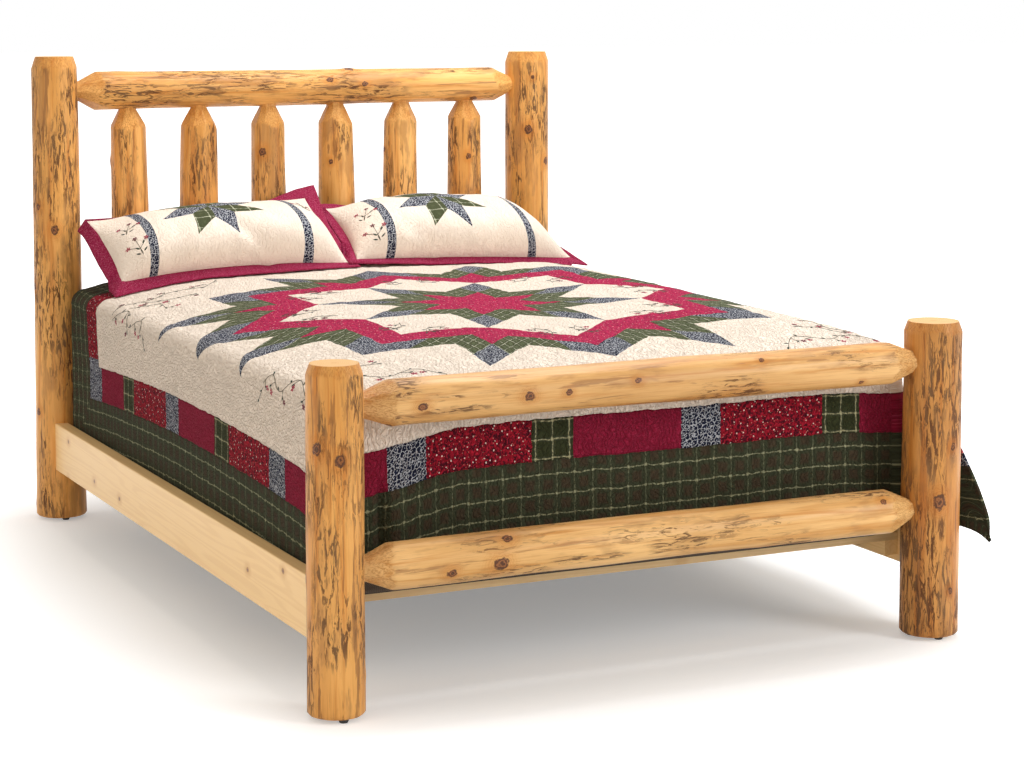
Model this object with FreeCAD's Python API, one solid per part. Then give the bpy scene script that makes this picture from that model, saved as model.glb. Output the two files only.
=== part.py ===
import FreeCAD, Part
import math
import os

# Rustic queen log bed with its bedding. Millimetres.
# The origin is on the floor under the middle of the bed, where the centre leg stands.
# +X is to the right seen from the foot, +Y points to the headboard, +Z is up.

Vec = FreeCAD.Vector

# Fits and small gaps
glue_gap = 0.2            # round tenon to its bored mortise
seat_gap = 0.3            # soft or curved faces that rest on each other
bore_relief = 3.0         # glue space past the end of a tenon
edge_round = 3.0          # eased edges of sawn boards

# Plan of the bedstead, which goes round its bedding
bedding_width = 1510.0
bedding_length = 2032.0
post_beyond_side = 20.0   # post centres outside the sides of the bedding
post_beyond_end = 100.0   # post centres beyond the ends of the bedding
glide_height = 10.0       # what the nailed glides hold the posts off the floor

# Posts: diameter at the floor, diameter at the top
head_post_height = 1377.0
foot_post_height = 774.0
head_left_d = (147.0, 131.0)
head_right_d = (142.0, 139.0)
foot_left_d = (128.0, 123.0)
foot_right_d = (142.0, 139.0)
post_foot_chamfer = 5.0
head_chamfer_in = 10.0
head_chamfer_down = 30.0
foot_chamfer_in = 8.0
foot_chamfer_down = 22.0

# Log rails: place of the axis, diameter at the left end, diameter at the right end
head_top_drop = 103.0     # axis under the top of the head posts
head_top_d = (113.0, 106.0)
head_bottom_z = 450.0
head_bottom_d = (108.0, 104.0)
foot_top_drop = 95.0      # axis under the top of the foot posts
foot_top_d = (102.0, 100.0)
foot_bottom_z = 319.0
foot_bottom_d = (103.0, 106.0)
rail_tenon_d = 50.0
rail_tenon_depth = 72.0
rail_cone_length = 62.0
bore_lead = 20.0          # cutters start this far outside the log

# Spindles of the headboard: diameter of each at the bottom, the middle and the top
spindle_d = ((110.0, 112.0, 104.0), (112.0, 118.0, 110.0), (107.0, 110.0, 105.0),
             (110.0, 114.0, 107.0), (106.0, 110.0, 103.0), (107.0, 112.0, 104.0))
spindle_tenon_d = 38.0
spindle_tip_d = 46.0
spindle_tenon_depth = 42.0
spindle_cone_length = 57.0

# Sawn pine side rails, each let into a flat on its two posts
side_rail_height = 140.0
side_rail_thickness = 38.0
side_rail_bottom = 156.0
side_rail_outset = 33.0   # outer face beyond the post centres
post_flat_depth = 13.5
post_flat_margin = 1.0

# Steel angle bracket inside each rail end, with its screws and lags
bracket_thickness = 3.0
bracket_height = 100.0
bracket_rail_leaf = 50.0
bracket_post_leaf = 30.0
bracket_hole_spacing = 56.0
bracket_screw_reach = 32.5  # rail screws from the post's flat
hole_clearance = 0.3
screw_d = 5.0
screw_length = 28.0
screw_head_d = 10.0
screw_head_height = 2.5
lag_d = 8.0
lag_length = 50.0
lag_head_across = 13.0
lag_head_height = 5.0

# Cleats screwed inside the side rails, and the slats that lie on them
cleat_side = 38.0
cleat_rise = 18.0
cleat_end_gap = 70.0
cleat_screw_count = 5
slat_count = 5
slat_thickness = 19.0
slat_width = 89.0
slat_end_gap = 2.0
slat_first_inset = 26.0   # foot edge of the first slat from the mattress end
center_leg_d = 64.0
center_leg_chamfer = 5.0

# Nailed glides, three under each post
glide_d = 22.0
glide_face_d = 18.0
glide_bevel = 4.0
glide_circle_r = 42.0
glide_nail_d = 3.0
glide_nail_length = 20.0
glide_count = 3
glide_first_angle = 270.0

# Box spring and mattress, queen size
box_spring_height = 203.0
box_spring_corner = 85.0
box_spring_edge = 12.0
mattress_height = 254.0
mattress_crown = 55.0     # rise of the middle above the edges
mattress_end_crown = 12.0 # the same rise at the foot and the head
mattress_edge_round = 45.0
mattress_corner = 70.0
crown_power = 2.4         # how flat the crown stays along the bed
corner_steps = (0.0, 0.04, 0.15, 0.35, 0.65)  # shares of a corner at which it has sections
section_count = 16        # straight spans of the mattress and quilt forms along the bed

# Patchwork quilt laid over the mattress
quilt_thickness = 10.0
quilt_hem_z = 236.0       # hem at both sides
quilt_foot_hem_z = 318.0
quilt_knee_z = 318.0      # where the right side turns down outside its rail
quilt_head_inset = 12.0
quilt_right_outset = 14.0 # how far the right side hangs clear of its rail
quilt_ripple = 7.0
quilt_ripple_count = 3
quilt_rail_gap = 3.0      # under the foot corner, over the side rail

# Loose foot corner of the quilt, outside the right foot post
flap_thickness = 6.0
flap_root_z = 540.0
flap_root_inset = 2.0     # how deep its root lies in the quilt's side
flap_root_rise = 4.0      # its root ends above the side hem
flap_wrap_gap = 22.0      # clear of the foot post
flap_wrap_y = 46.0
flap_wrap_top_z = 440.0
flap_wrap_low_z = 262.0
flap_wrap_flare = 12.0
flap_reach_x = 160.0      # tip beyond the mattress side
flap_reach_y = 148.0      # tip beyond the mattress end
flap_tip_z = 236.0
flap_tip_height = 16.0

# Two filled pillow shams
sham_width = 690.0
sham_height = 330.0
sham_loft = 172.0
sham_flange = 42.0
sham_flange_thickness = 8.0
sham_drawn_in = 14.0
sham_gap = 6.0
sham_tilt = 34.0
sham_back_gap = 12.0
sham_front_share = 0.52   # share of the loft on the front
sham_fullness = 2.6       # how far out the filling stays thick
sham_edge_bulge = 2.0
sham_stations = (-1.0, -0.92, -0.75, -0.5, 0.0, 0.5, 0.75, 0.92, 1.0)

# Sizes worked out from the ones above
half_x = bedding_width / 2 + post_beyond_side
half_y = bedding_length / 2 + post_beyond_end
head_top_z = head_post_height - head_top_drop
foot_top_z = foot_post_height - foot_top_drop
rail_outer_x = half_x + side_rail_outset
rail_inner_x = rail_outer_x - side_rail_thickness
cleat_top = side_rail_bottom + cleat_rise + cleat_side
slat_top = cleat_top + slat_thickness
mattress_bottom = slat_top + box_spring_height
mattress_edge_top = mattress_bottom + mattress_height
mattress_end = bedding_length / 2
mattress_side = bedding_width / 2


class Post:
    """A standing log: tapered, eased at the floor and chamfered at the top."""

    def __init__(self, x, y, height, diameters, chamfer_in, chamfer_down):
        self.x = x
        self.y = y
        self.height = height
        self.foot_r = diameters[0] / 2
        self.top_r = diameters[1] / 2
        self.chamfer_in = chamfer_in
        self.chamfer_down = chamfer_down
        self.cutters = []

    def radius(self, z):
        share = (z - glide_height) / (self.height - glide_height)
        return self.foot_r + (self.top_r - self.foot_r) * share

    def flat_distance(self):
        """Distance from the post's axis to the flat that takes the side rail."""
        return self.radius(side_rail_bottom + side_rail_height) - post_flat_depth

    def solid(self):
        z0 = glide_height
        shoulder = self.height - self.chamfer_down
        eased = z0 + post_foot_chamfer
        profile = [Vec(0, 0, z0), Vec(self.foot_r - post_foot_chamfer, 0, z0),
                   Vec(self.radius(eased), 0, eased),
                   Vec(self.radius(shoulder), 0, shoulder),
                   Vec(self.radius(shoulder) - self.chamfer_in, 0, self.height),
                   Vec(0, 0, self.height), Vec(0, 0, z0)]
        shape = Part.Face(Part.makePolygon(profile)).revolve(Vec(0, 0, 0), Vec(0, 0, 1), 360)
        shape.translate(Vec(self.x, self.y, 0))
        return shape

    def finished(self):
        """The post with its rail flat, its mortises and its fastener holes."""
        return self.solid().cut([self.flat_cutter()] + self.cutters)

    def flat_cutter(self):
        """The notch across the side of the post that faces the middle of the bed."""
        width = 2 * (self.foot_r + bore_lead)
        height = side_rail_height + 2 * post_flat_margin
        near = self.flat_distance()
        block = Part.makeBox(width, self.foot_r, height)
        y0 = self.y + near if self.y < 0 else self.y - near - self.foot_r
        block.translate(Vec(self.x - width / 2, y0, side_rail_bottom - post_flat_margin))
        return block


def log_between(start, end, radii, cone_length, tip_r, tenon_r, tenon_depth):
    """A peeled log from surface to surface, with a cone and a round tenon at each end."""
    direction = end - start
    length = direction.Length
    profile = [Vec(0, 0, -tenon_depth), Vec(tenon_r, 0, -tenon_depth), Vec(tenon_r, 0, 0)]
    if tip_r > tenon_r:
        profile.append(Vec(tip_r, 0, 0))
    body_length = length - 2 * cone_length
    for index, radius in enumerate(radii):
        profile.append(Vec(radius, 0, cone_length + body_length * index / (len(radii) - 1)))
    if tip_r > tenon_r:
        profile.append(Vec(tip_r, 0, length))
    profile += [Vec(tenon_r, 0, length), Vec(tenon_r, 0, length + tenon_depth),
                Vec(0, 0, length + tenon_depth), profile[0]]
    shape = Part.Face(Part.makePolygon(profile)).revolve(Vec(0, 0, 0), Vec(0, 0, 1), 360)
    shape.Placement = FreeCAD.Placement(start, FreeCAD.Rotation(Vec(0, 0, 1), direction))
    return shape


def bore(mouth, direction, tenon_r, tenon_depth):
    """Cutter for the blind mortise of a round tenon, from outside the log's surface."""
    depth = bore_lead + tenon_depth + bore_relief
    return Part.makeCylinder(tenon_r + glue_gap, depth, mouth - direction * bore_lead, direction)


class Rail:
    """A log rail between two posts of the same end of the bed."""

    def __init__(self, left_post, right_post, z, diameters):
        self.y = left_post.y
        self.z = z
        self.left_x = left_post.x + left_post.radius(z) + seat_gap
        self.right_x = right_post.x - right_post.radius(z) - seat_gap
        self.left_r = diameters[0] / 2
        self.right_r = diameters[1] / 2

    def radius(self, x):
        first = self.left_x + rail_cone_length
        share = (x - first) / (self.right_x - rail_cone_length - first)
        return self.left_r + (self.right_r - self.left_r) * share

    def solid(self):
        start = Vec(self.left_x, self.y, self.z)
        end = Vec(self.right_x, self.y, self.z)
        radii = (self.left_r, self.right_r)
        tenon_r = rail_tenon_d / 2
        return log_between(start, end, radii, rail_cone_length, tenon_r, tenon_r, rail_tenon_depth)

    def bores(self):
        start = Vec(self.left_x, self.y, self.z)
        end = Vec(self.right_x, self.y, self.z)
        tenon_r = rail_tenon_d / 2
        left = bore(start, Vec(-1, 0, 0), tenon_r, rail_tenon_depth)
        right = bore(end, Vec(1, 0, 0), tenon_r, rail_tenon_depth)
        return left, right


def make_spindles(bottom_rail, top_rail):
    """Spindles at an even pitch, and the mortises that they need in the two rails."""
    pitch = 2 * half_x / (len(spindle_d) + 1)
    tenon_r = spindle_tenon_d / 2
    solids = []
    bottom_bores = []
    top_bores = []
    for index, sizes in enumerate(spindle_d):
        x = -half_x + pitch * (index + 1)
        foot = Vec(x, half_y, bottom_rail.z + bottom_rail.radius(x) + seat_gap)
        head = Vec(x, half_y, top_rail.z - top_rail.radius(x) - seat_gap)
        radii = [size / 2 for size in sizes]
        solids.append(log_between(foot, head, radii, spindle_cone_length,
                                  spindle_tip_d / 2, tenon_r, spindle_tenon_depth))
        bottom_bores.append(bore(foot, Vec(0, 0, -1), tenon_r, spindle_tenon_depth))
        top_bores.append(bore(head, Vec(0, 0, 1), tenon_r, spindle_tenon_depth))
    return solids, bottom_bores, top_bores


def eased_board(size_x, size_y, size_z, corner, along):
    """A sawn board with its long edges eased; along is the axis of those edges."""
    board = Part.makeBox(size_x, size_y, size_z, corner)
    long_edges = []
    for edge in board.Edges:
        direction = edge.Vertexes[1].Point - edge.Vertexes[0].Point
        if abs(direction.normalize().dot(along)) > 0.99:
            long_edges.append(edge)
    return board.makeFillet(edge_round, long_edges)


def side_frame(side, foot_post, head_post):
    """One side rail with its cleat, brackets, screws and lags; side is -1 or +1."""
    y_foot = foot_post.y + foot_post.flat_distance()
    y_head = head_post.y - head_post.flat_distance()
    outer = side * rail_outer_x
    inner = side * rail_inner_x
    rail = eased_board(side_rail_thickness, y_head - y_foot, side_rail_height,
                       Vec(min(outer, inner), y_foot, side_rail_bottom), Vec(0, 1, 0))
    cleat_x = inner if side < 0 else inner - cleat_side
    cleat_y = y_foot + cleat_end_gap
    cleat_length = y_head - y_foot - 2 * cleat_end_gap
    cleat = eased_board(cleat_side, cleat_length, cleat_side,
                        Vec(cleat_x, cleat_y, side_rail_bottom + cleat_rise), Vec(0, 1, 0))
    cleat_screws = []
    for index in range(cleat_screw_count):
        y = cleat_y + cleat_length * (index + 0.5) / cleat_screw_count
        head = Vec(inner - side * cleat_side, y, cleat_top - cleat_side / 2)
        cleat_screws.append(screw(head, Vec(side, 0, 0), screw_d, cleat_side + screw_length))
    brackets = []
    rail_screws = []
    lags = []
    middle_z = side_rail_bottom + side_rail_height / 2
    for post, y_flat, inward in ((foot_post, y_foot, 1), (head_post, y_head, -1)):
        bracket = angle_bracket(side, inner, y_flat, inward, middle_z)
        for step in (-0.5, 0.5):
            z = middle_z + step * bracket_hole_spacing
            y_screw = y_flat + inward * bracket_screw_reach
            rail_screw = screw(Vec(inner - side * bracket_thickness, y_screw, z),
                               Vec(side, 0, 0), screw_d, bracket_thickness + screw_length)
            x_lag = inner - side * (bracket_thickness + (bracket_post_leaf - bracket_thickness) / 2)
            lag = lag_bolt(Vec(x_lag, y_flat + inward * bracket_thickness, z), Vec(0, -inward, 0))
            bracket = bracket.cut(clearance_hole(rail_screw, Vec(side, 0, 0), screw_d))
            bracket = bracket.cut(clearance_hole(lag, Vec(0, -inward, 0), lag_d))
            rail_screws.append(rail_screw)
            lags.append(lag)
            post.cutters.append(lag)
        brackets.append(bracket)
    for item in rail_screws + cleat_screws:
        rail = rail.cut(item)
    for item in cleat_screws:
        cleat = cleat.cut(item)
    return rail, cleat, brackets, rail_screws, lags, cleat_screws


def angle_bracket(side, inner, y_flat, inward, middle_z):
    """A steel angle: one leaf on the rail's inner face, one on the flat of the post."""
    x_leaf = inner if side < 0 else inner - bracket_thickness
    y_leaf = y_flat if inward > 0 else y_flat - bracket_rail_leaf
    low = middle_z - bracket_height / 2
    on_rail = Part.makeBox(bracket_thickness, bracket_rail_leaf, bracket_height,
                           Vec(x_leaf, y_leaf, low))
    x_post = inner if side < 0 else inner - bracket_post_leaf
    y_post = y_flat if inward > 0 else y_flat - bracket_thickness
    on_post = Part.makeBox(bracket_post_leaf, bracket_thickness, bracket_height,
                           Vec(x_post, y_post, low))
    return on_rail.fuse(on_post).removeSplitter()


def screw(head_seat, direction, diameter, length):
    """A pan head screw whose head sits on head_seat; the shank runs along direction."""
    shank = Part.makeCylinder(diameter / 2, length, head_seat, direction)
    head = Part.makeCylinder(screw_head_d / 2, screw_head_height,
                             head_seat - direction * screw_head_height, direction)
    return shank.fuse(head).removeSplitter()


def lag_bolt(head_seat, direction):
    """A hex head lag bolt whose head sits on head_seat."""
    corner_r = lag_head_across / math.sqrt(3)
    corners = [Vec(corner_r * math.cos(math.radians(60 * k)),
                   corner_r * math.sin(math.radians(60 * k)), 0) for k in range(7)]
    head = Part.Face(Part.makePolygon(corners)).extrude(Vec(0, 0, -lag_head_height))
    shank = Part.makeCylinder(lag_d / 2, lag_length)
    bolt = head.fuse(shank).removeSplitter()
    bolt.Placement = FreeCAD.Placement(head_seat, FreeCAD.Rotation(Vec(0, 0, 1), direction))
    return bolt


def clearance_hole(fastener, direction, diameter):
    """A drill for the bracket, a little wider than the shank of the fastener."""
    centre = fastener.BoundBox.Center
    reach = lag_length + screw_length
    return Part.makeCylinder(diameter / 2 + hole_clearance, 2 * reach,
                             centre - direction * reach, direction)


def make_slats():
    """Slats laid across from cleat to cleat, the middle one over the centre leg."""
    length = 2 * (rail_inner_x - slat_end_gap)
    first = -mattress_end + slat_first_inset + slat_width / 2
    pitch = -2 * first / (slat_count - 1)
    slats = []
    for index in range(slat_count):
        corner = Vec(-length / 2, first + pitch * index - slat_width / 2, cleat_top)
        slats.append(Part.makeBox(length, slat_width, slat_thickness, corner))
    return slats


def make_center_leg():
    """A short round leg under the middle slat; its foot is flat on the floor."""
    leg = Part.makeCylinder(center_leg_d / 2, cleat_top)
    rim = [edge for edge in leg.Edges
           if isinstance(edge.Curve, Part.Circle) and edge.BoundBox.ZMax < 1]
    return leg.makeChamfer(center_leg_chamfer, rim)


def make_glides(posts):
    """Three nailed glides under each post, and the nail holes that they need."""
    glides = []
    for post in posts:
        for index in range(glide_count):
            angle = math.radians(glide_first_angle + 360.0 * index / glide_count)
            x = post.x + glide_circle_r * math.cos(angle)
            y = post.y + glide_circle_r * math.sin(angle)
            cap = Part.makeCone(glide_face_d / 2, glide_d / 2, glide_bevel, Vec(x, y, 0))
            disc = Part.makeCylinder(glide_d / 2, glide_height - glide_bevel, Vec(x, y, glide_bevel))
            nail = Part.makeCylinder(glide_nail_d / 2, glide_nail_length, Vec(x, y, glide_height))
            glides.append(cap.fuse([disc, nail]).removeSplitter())
            post.cutters.append(nail)
    return glides


def padded_block(half_width, half_length, bottom, top, corner, edge):
    """A box spring: a block with round corners in plan and a soft top and bottom edge."""
    block = Part.makeBox(2 * half_width, 2 * half_length, top - bottom,
                         Vec(-half_width, -half_length, bottom))
    upright = [item for item in block.Edges if item.BoundBox.ZLength > 1]
    block = block.makeFillet(corner, upright)
    level = [item for item in block.Edges if item.BoundBox.ZLength < 0.01]
    return block.makeFillet(edge, level)


def crown_height(y):
    """How much the middle of the mattress stands above its edge at this y."""
    share = min(abs(y) / mattress_end, 1.0)
    return mattress_end_crown + (mattress_crown - mattress_end_crown) * (1 - share ** crown_power)


def quarter_drop(distance, radius):
    """How far a quarter round has fallen back at a distance from its end."""
    rest = max(radius - distance, 0.0)
    return radius - math.sqrt(radius ** 2 - rest ** 2)


def end_stations(grow):
    """Places along the bed for the sections of the mattress form, from foot to head."""
    end = mattress_end + grow
    straight = end - mattress_corner
    foot = [-end + share * mattress_corner for share in corner_steps]
    middle = [-straight + 2 * straight * index / section_count for index in range(section_count + 1)]
    head = [-y for y in reversed(foot)]
    return foot + middle + head


def upper_edges(y, grow, half, left_low, right_low):
    """The line over the mattress at y, grown outward, from one low point to the other."""
    top = mattress_edge_top + grow - quarter_drop(mattress_end + grow - abs(y), mattress_edge_round)
    edge_r = mattress_edge_round
    chord = edge_r * (1 - math.sqrt(0.5))
    up_left = Vec(-half, y, top - edge_r)
    bend_left = Vec(-half + chord, y, top - chord)
    top_left = Vec(-half + edge_r, y, top)
    middle = Vec(0, y, top + crown_height(y))
    top_right = Vec(half - edge_r, y, top)
    bend_right = Vec(half - chord, y, top - chord)
    up_right = Vec(half, y, top - edge_r)
    return [Part.makeLine(left_low, up_left),
            Part.Arc(up_left, bend_left, top_left).toShape(),
            Part.Arc(top_left, middle, top_right).toShape(),
            Part.Arc(top_right, bend_right, up_right).toShape(),
            Part.makeLine(up_right, right_low)]


def make_mattress():
    sections = []
    for y in end_stations(0.0):
        half = mattress_side - quarter_drop(mattress_end - abs(y), mattress_corner)
        low_left = Vec(-half, y, mattress_bottom)
        low_right = Vec(half, y, mattress_bottom)
        edges = upper_edges(y, 0.0, half, low_left, low_right)
        edges.append(Part.makeLine(low_right, low_left))
        sections.append(Part.Wire(edges))
    return Part.makeLoft(sections, True, True)


def quilt_section(y, grow, bottom):
    """A closed section of the quilt's outside or inside, loose over the right side rail.

    It follows the mattress round its corners at the foot and hangs straight at the head.
    """
    half = mattress_side + grow
    if y < 0:
        half -= quarter_drop(mattress_end + grow + y, mattress_corner)
    outset = rail_outer_x + quilt_right_outset - mattress_side - quilt_thickness
    wave = quilt_ripple * (1 + math.sin(2 * math.pi * quilt_ripple_count * y / bedding_length))
    low_left = Vec(-half, y, bottom)
    knee = Vec(half + outset, y, quilt_knee_z)
    low_right = Vec(half + outset + wave, y, bottom)
    edges = upper_edges(y, grow, half, low_left, knee)
    edges.append(Part.makeLine(knee, low_right))
    edges.append(Part.makeLine(low_right, low_left))
    return Part.Wire(edges)


def make_quilt():
    """The quilt: tucked in at the left, hanging at the foot, loose over the right side rail."""
    outside = seat_gap + quilt_thickness
    outer = Part.makeLoft([quilt_section(y, outside, quilt_hem_z) for y in end_stations(outside)],
                          True, True)
    inner = Part.makeLoft([quilt_section(y, seat_gap, quilt_hem_z - 50)
                           for y in end_stations(seat_gap)], True, True)
    quilt = outer.cut(inner)
    span = 2 * mattress_side
    head_cut = Part.makeBox(2 * span, mattress_end, mattress_edge_top * 2,
                            Vec(-span, mattress_end - quilt_head_inset, 0))
    foot_cut = Part.makeBox(2 * span, mattress_end, quilt_foot_hem_z,
                            Vec(-span, -2 * mattress_end + quilt_thickness / 2, 0))
    corner_top = side_rail_bottom + side_rail_height + quilt_rail_gap
    corner_cut = Part.makeBox(mattress_side, 2 * mattress_corner, corner_top,
                              Vec(mattress_side - mattress_corner,
                                  -mattress_end - mattress_corner, 0))
    quilt = quilt.cut(head_cut).cut(foot_cut).cut(corner_cut)
    return quilt.fuse(make_flap())


def flap_section(y, line):
    """A thin upright strip across the loose corner at y; line holds its x and z from the top."""
    near = [Vec(x, y, z) for x, z in line]
    far = [Vec(x + flap_thickness, y, z) for x, z in reversed(line)]
    return Part.makePolygon(near + far + near[:1])


def make_flap():
    """The loose foot corner of the quilt, which hangs outside the right foot post."""
    outset = rail_outer_x + quilt_right_outset - mattress_side - quilt_thickness
    side_x = mattress_side + seat_gap + flap_root_inset
    knee_x = side_x + outset
    rise = (flap_root_z - quilt_knee_z) / (mattress_edge_top - mattress_edge_round - quilt_knee_z)
    root_line = ((knee_x - outset * rise, flap_root_z), (knee_x, quilt_knee_z),
                 (knee_x, quilt_hem_z + flap_root_rise))
    wrap_x = half_x + foot_right_d[0] / 2 + flap_wrap_gap
    wrap_middle_z = (flap_wrap_top_z + flap_wrap_low_z) / 2
    wrap_line = ((wrap_x, flap_wrap_top_z), (wrap_x + flap_wrap_flare / 2, wrap_middle_z),
                 (wrap_x + flap_wrap_flare, flap_wrap_low_z))
    tip_x = side_x + flap_reach_x
    tip_line = ((tip_x, flap_tip_z + flap_tip_height), (tip_x, flap_tip_z + flap_tip_height / 2),
                (tip_x, flap_tip_z))
    root_y = -mattress_end + mattress_corner + quilt_thickness
    places = ((root_y, root_line), (-half_y + flap_wrap_y, wrap_line),
              (-mattress_end - flap_reach_y, tip_line))
    return Part.makeLoft([flap_section(y, line) for y, line in places], True, True)


def sham_section(u, half_height, bulge):
    """A closed lens across the sham at u along its width."""
    rim = sham_flange_thickness / 2
    low_front = Vec(u, -half_height, rim)
    high_front = Vec(u, half_height, rim)
    high_back = Vec(u, half_height, -rim)
    low_back = Vec(u, -half_height, -rim)
    front = Vec(u, 0, rim + bulge * sham_front_share)
    back = Vec(u, 0, -rim - bulge * (1 - sham_front_share))
    return Part.Wire([Part.Arc(low_front, front, high_front).toShape(),
                      Part.makeLine(high_front, high_back),
                      Part.Arc(high_back, back, low_back).toShape(),
                      Part.makeLine(low_back, low_front)])


def make_sham(side, quilt):
    """A filled pillow sham that leans on the spindles; side is -1 or +1."""
    half_width = sham_width / 2
    sections = []
    for share in sham_stations:
        fullness = math.sqrt(1 - abs(share) ** sham_fullness)
        half_height = sham_height / 2 - sham_drawn_in * (1 - share ** 2)
        bulge = sham_loft * fullness + sham_edge_bulge
        sections.append(sham_section(share * half_width, half_height, bulge))
    body = Part.makeLoft(sections, True, True)
    rim_x = half_width + sham_flange
    rim_y = sham_height / 2 + sham_flange
    draw = sham_drawn_in
    rim = sham_flange_thickness / 2
    corners = [Vec(-rim_x, -rim_y, -rim), Vec(rim_x, -rim_y, -rim),
               Vec(rim_x, rim_y, -rim), Vec(-rim_x, rim_y, -rim)]
    middles = [Vec(0, -rim_y + draw, -rim), Vec(rim_x - draw, 0, -rim),
               Vec(0, rim_y - draw, -rim), Vec(-rim_x + draw, 0, -rim)]
    edges = []
    for index, middle in enumerate(middles):
        edges.append(Part.Arc(corners[index], middle, corners[(index + 1) % 4]).toShape())
    flange = Part.Face(Part.Wire(edges)).extrude(Vec(0, 0, sham_flange_thickness))
    sham = body.fuse(flange)
    x = side * (rim_x + sham_gap / 2)
    sham.rotate(Vec(0, 0, 0), Vec(1, 0, 0), sham_tilt)
    sham.translate(Vec(x, 0, mattress_edge_top + mattress_crown + sham_height))
    back = half_y - max(max(sizes) for sizes in spindle_d) / 2 - sham_back_gap
    sham.translate(Vec(0, back - sham.BoundBox.YMax, 0))
    gap = sham.distToShape(quilt)[0]
    while gap > seat_gap * 1.01:
        sham.translate(Vec(0, 0, seat_gap - gap))
        gap = sham.distToShape(quilt)[0]
    return sham


def export(name, shapes):
    """Write one solid, or a group of like solids, under the node's name."""
    shape = shapes if hasattr(shapes, "ShapeType") else Part.makeCompound(shapes)
    solids = shape.Solids
    shape = solids[0] if len(solids) == 1 else Part.makeCompound(solids)
    if not shape.isValid():
        print(name, "is not valid")
    shape.exportStep("parts/" + name + ".step")


def main():
    os.makedirs("parts", exist_ok=True)
    head_left = Post(-half_x, half_y, head_post_height, head_left_d,
                     head_chamfer_in, head_chamfer_down)
    head_right = Post(half_x, half_y, head_post_height, head_right_d,
                      head_chamfer_in, head_chamfer_down)
    foot_left = Post(-half_x, -half_y, foot_post_height, foot_left_d,
                     foot_chamfer_in, foot_chamfer_down)
    foot_right = Post(half_x, -half_y, foot_post_height, foot_right_d,
                      foot_chamfer_in, foot_chamfer_down)
    posts = [head_left, head_right, foot_left, foot_right]

    head_top = Rail(head_left, head_right, head_top_z, head_top_d)
    head_bottom = Rail(head_left, head_right, head_bottom_z, head_bottom_d)
    foot_top = Rail(foot_left, foot_right, foot_top_z, foot_top_d)
    foot_bottom = Rail(foot_left, foot_right, foot_bottom_z, foot_bottom_d)
    for rail, left, right in ((head_top, head_left, head_right),
                              (head_bottom, head_left, head_right),
                              (foot_top, foot_left, foot_right),
                              (foot_bottom, foot_left, foot_right)):
        left_bore, right_bore = rail.bores()
        left.cutters.append(left_bore)
        right.cutters.append(right_bore)

    spindles, bottom_bores, top_bores = make_spindles(head_bottom, head_top)
    left_side = side_frame(-1, foot_left, head_left)
    right_side = side_frame(1, foot_right, head_right)
    glides = make_glides(posts)
    slats = make_slats()
    leg = make_center_leg()
    leg_screw = screw(Vec(0, 0, slat_top - screw_head_height), Vec(0, 0, -1), screw_d,
                      slat_thickness + screw_length)
    middle = slat_count // 2
    slats[middle] = slats[middle].cut(leg_screw)
    leg = leg.cut(leg_screw)

    export("head_post_left", head_left.finished())
    export("head_post_right", head_right.finished())
    export("foot_post_left", foot_left.finished())
    export("foot_post_right", foot_right.finished())
    export("head_top_rail", head_top.solid().cut(top_bores))
    export("head_bottom_rail", head_bottom.solid().cut(bottom_bores))
    export("foot_top_rail", foot_top.solid())
    export("foot_bottom_rail", foot_bottom.solid())
    for index, spindle in enumerate(spindles):
        export("spindle_%d" % (index + 1), spindle)
    rail_screws = []
    lags = []
    cleat_screws = []
    for side, pieces in (("left", left_side), ("right", right_side)):
        rail, cleat, brackets, screws, bolts, cleat_fixings = pieces
        export("side_rail_" + side, rail)
        export("side_cleat_" + side, cleat)
        export("rail_bracket_foot_" + side, brackets[0])
        export("rail_bracket_head_" + side, brackets[1])
        rail_screws += screws
        lags += bolts
        cleat_screws += cleat_fixings
    export("bracket_screws", rail_screws)
    export("bracket_lag_bolts", lags)
    export("cleat_screws", cleat_screws)
    for index, slat in enumerate(slats):
        export("slat_%d" % (index + 1), slat)
    export("center_leg", leg)
    export("center_leg_screw", leg_screw)
    export("floor_glides", glides)

    export("box_spring", padded_block(mattress_side, mattress_end, slat_top, mattress_bottom,
                                      box_spring_corner, box_spring_edge))
    export("mattress", make_mattress())
    quilt = make_quilt()
    export("quilt", quilt)
    export("pillow_left", make_sham(-1, quilt))
    export("pillow_right", make_sham(1, quilt))


main()
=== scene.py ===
"""Rustic log bed: logs, sawn rails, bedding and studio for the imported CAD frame. Metres."""
import math
import random
from functools import partialmethod

import bpy
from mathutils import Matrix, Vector, noise


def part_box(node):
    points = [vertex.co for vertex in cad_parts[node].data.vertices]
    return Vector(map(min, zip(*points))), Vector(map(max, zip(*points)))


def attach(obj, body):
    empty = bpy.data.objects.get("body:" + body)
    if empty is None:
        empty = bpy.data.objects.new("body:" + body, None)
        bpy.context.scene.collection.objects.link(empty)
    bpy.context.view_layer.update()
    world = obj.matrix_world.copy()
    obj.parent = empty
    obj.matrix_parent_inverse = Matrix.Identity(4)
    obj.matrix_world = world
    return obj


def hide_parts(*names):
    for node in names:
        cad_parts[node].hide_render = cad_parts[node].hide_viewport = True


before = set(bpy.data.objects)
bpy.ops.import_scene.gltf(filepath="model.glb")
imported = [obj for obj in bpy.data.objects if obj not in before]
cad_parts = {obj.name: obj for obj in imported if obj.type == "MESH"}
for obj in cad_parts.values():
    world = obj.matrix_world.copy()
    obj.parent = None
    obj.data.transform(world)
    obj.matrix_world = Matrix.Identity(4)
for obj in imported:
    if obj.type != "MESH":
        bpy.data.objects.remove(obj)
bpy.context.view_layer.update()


def middle(box):
    return [(low + high) / 2 for low, high in zip(*box)]


# ---------------------------------------------------------------- node trees


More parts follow.
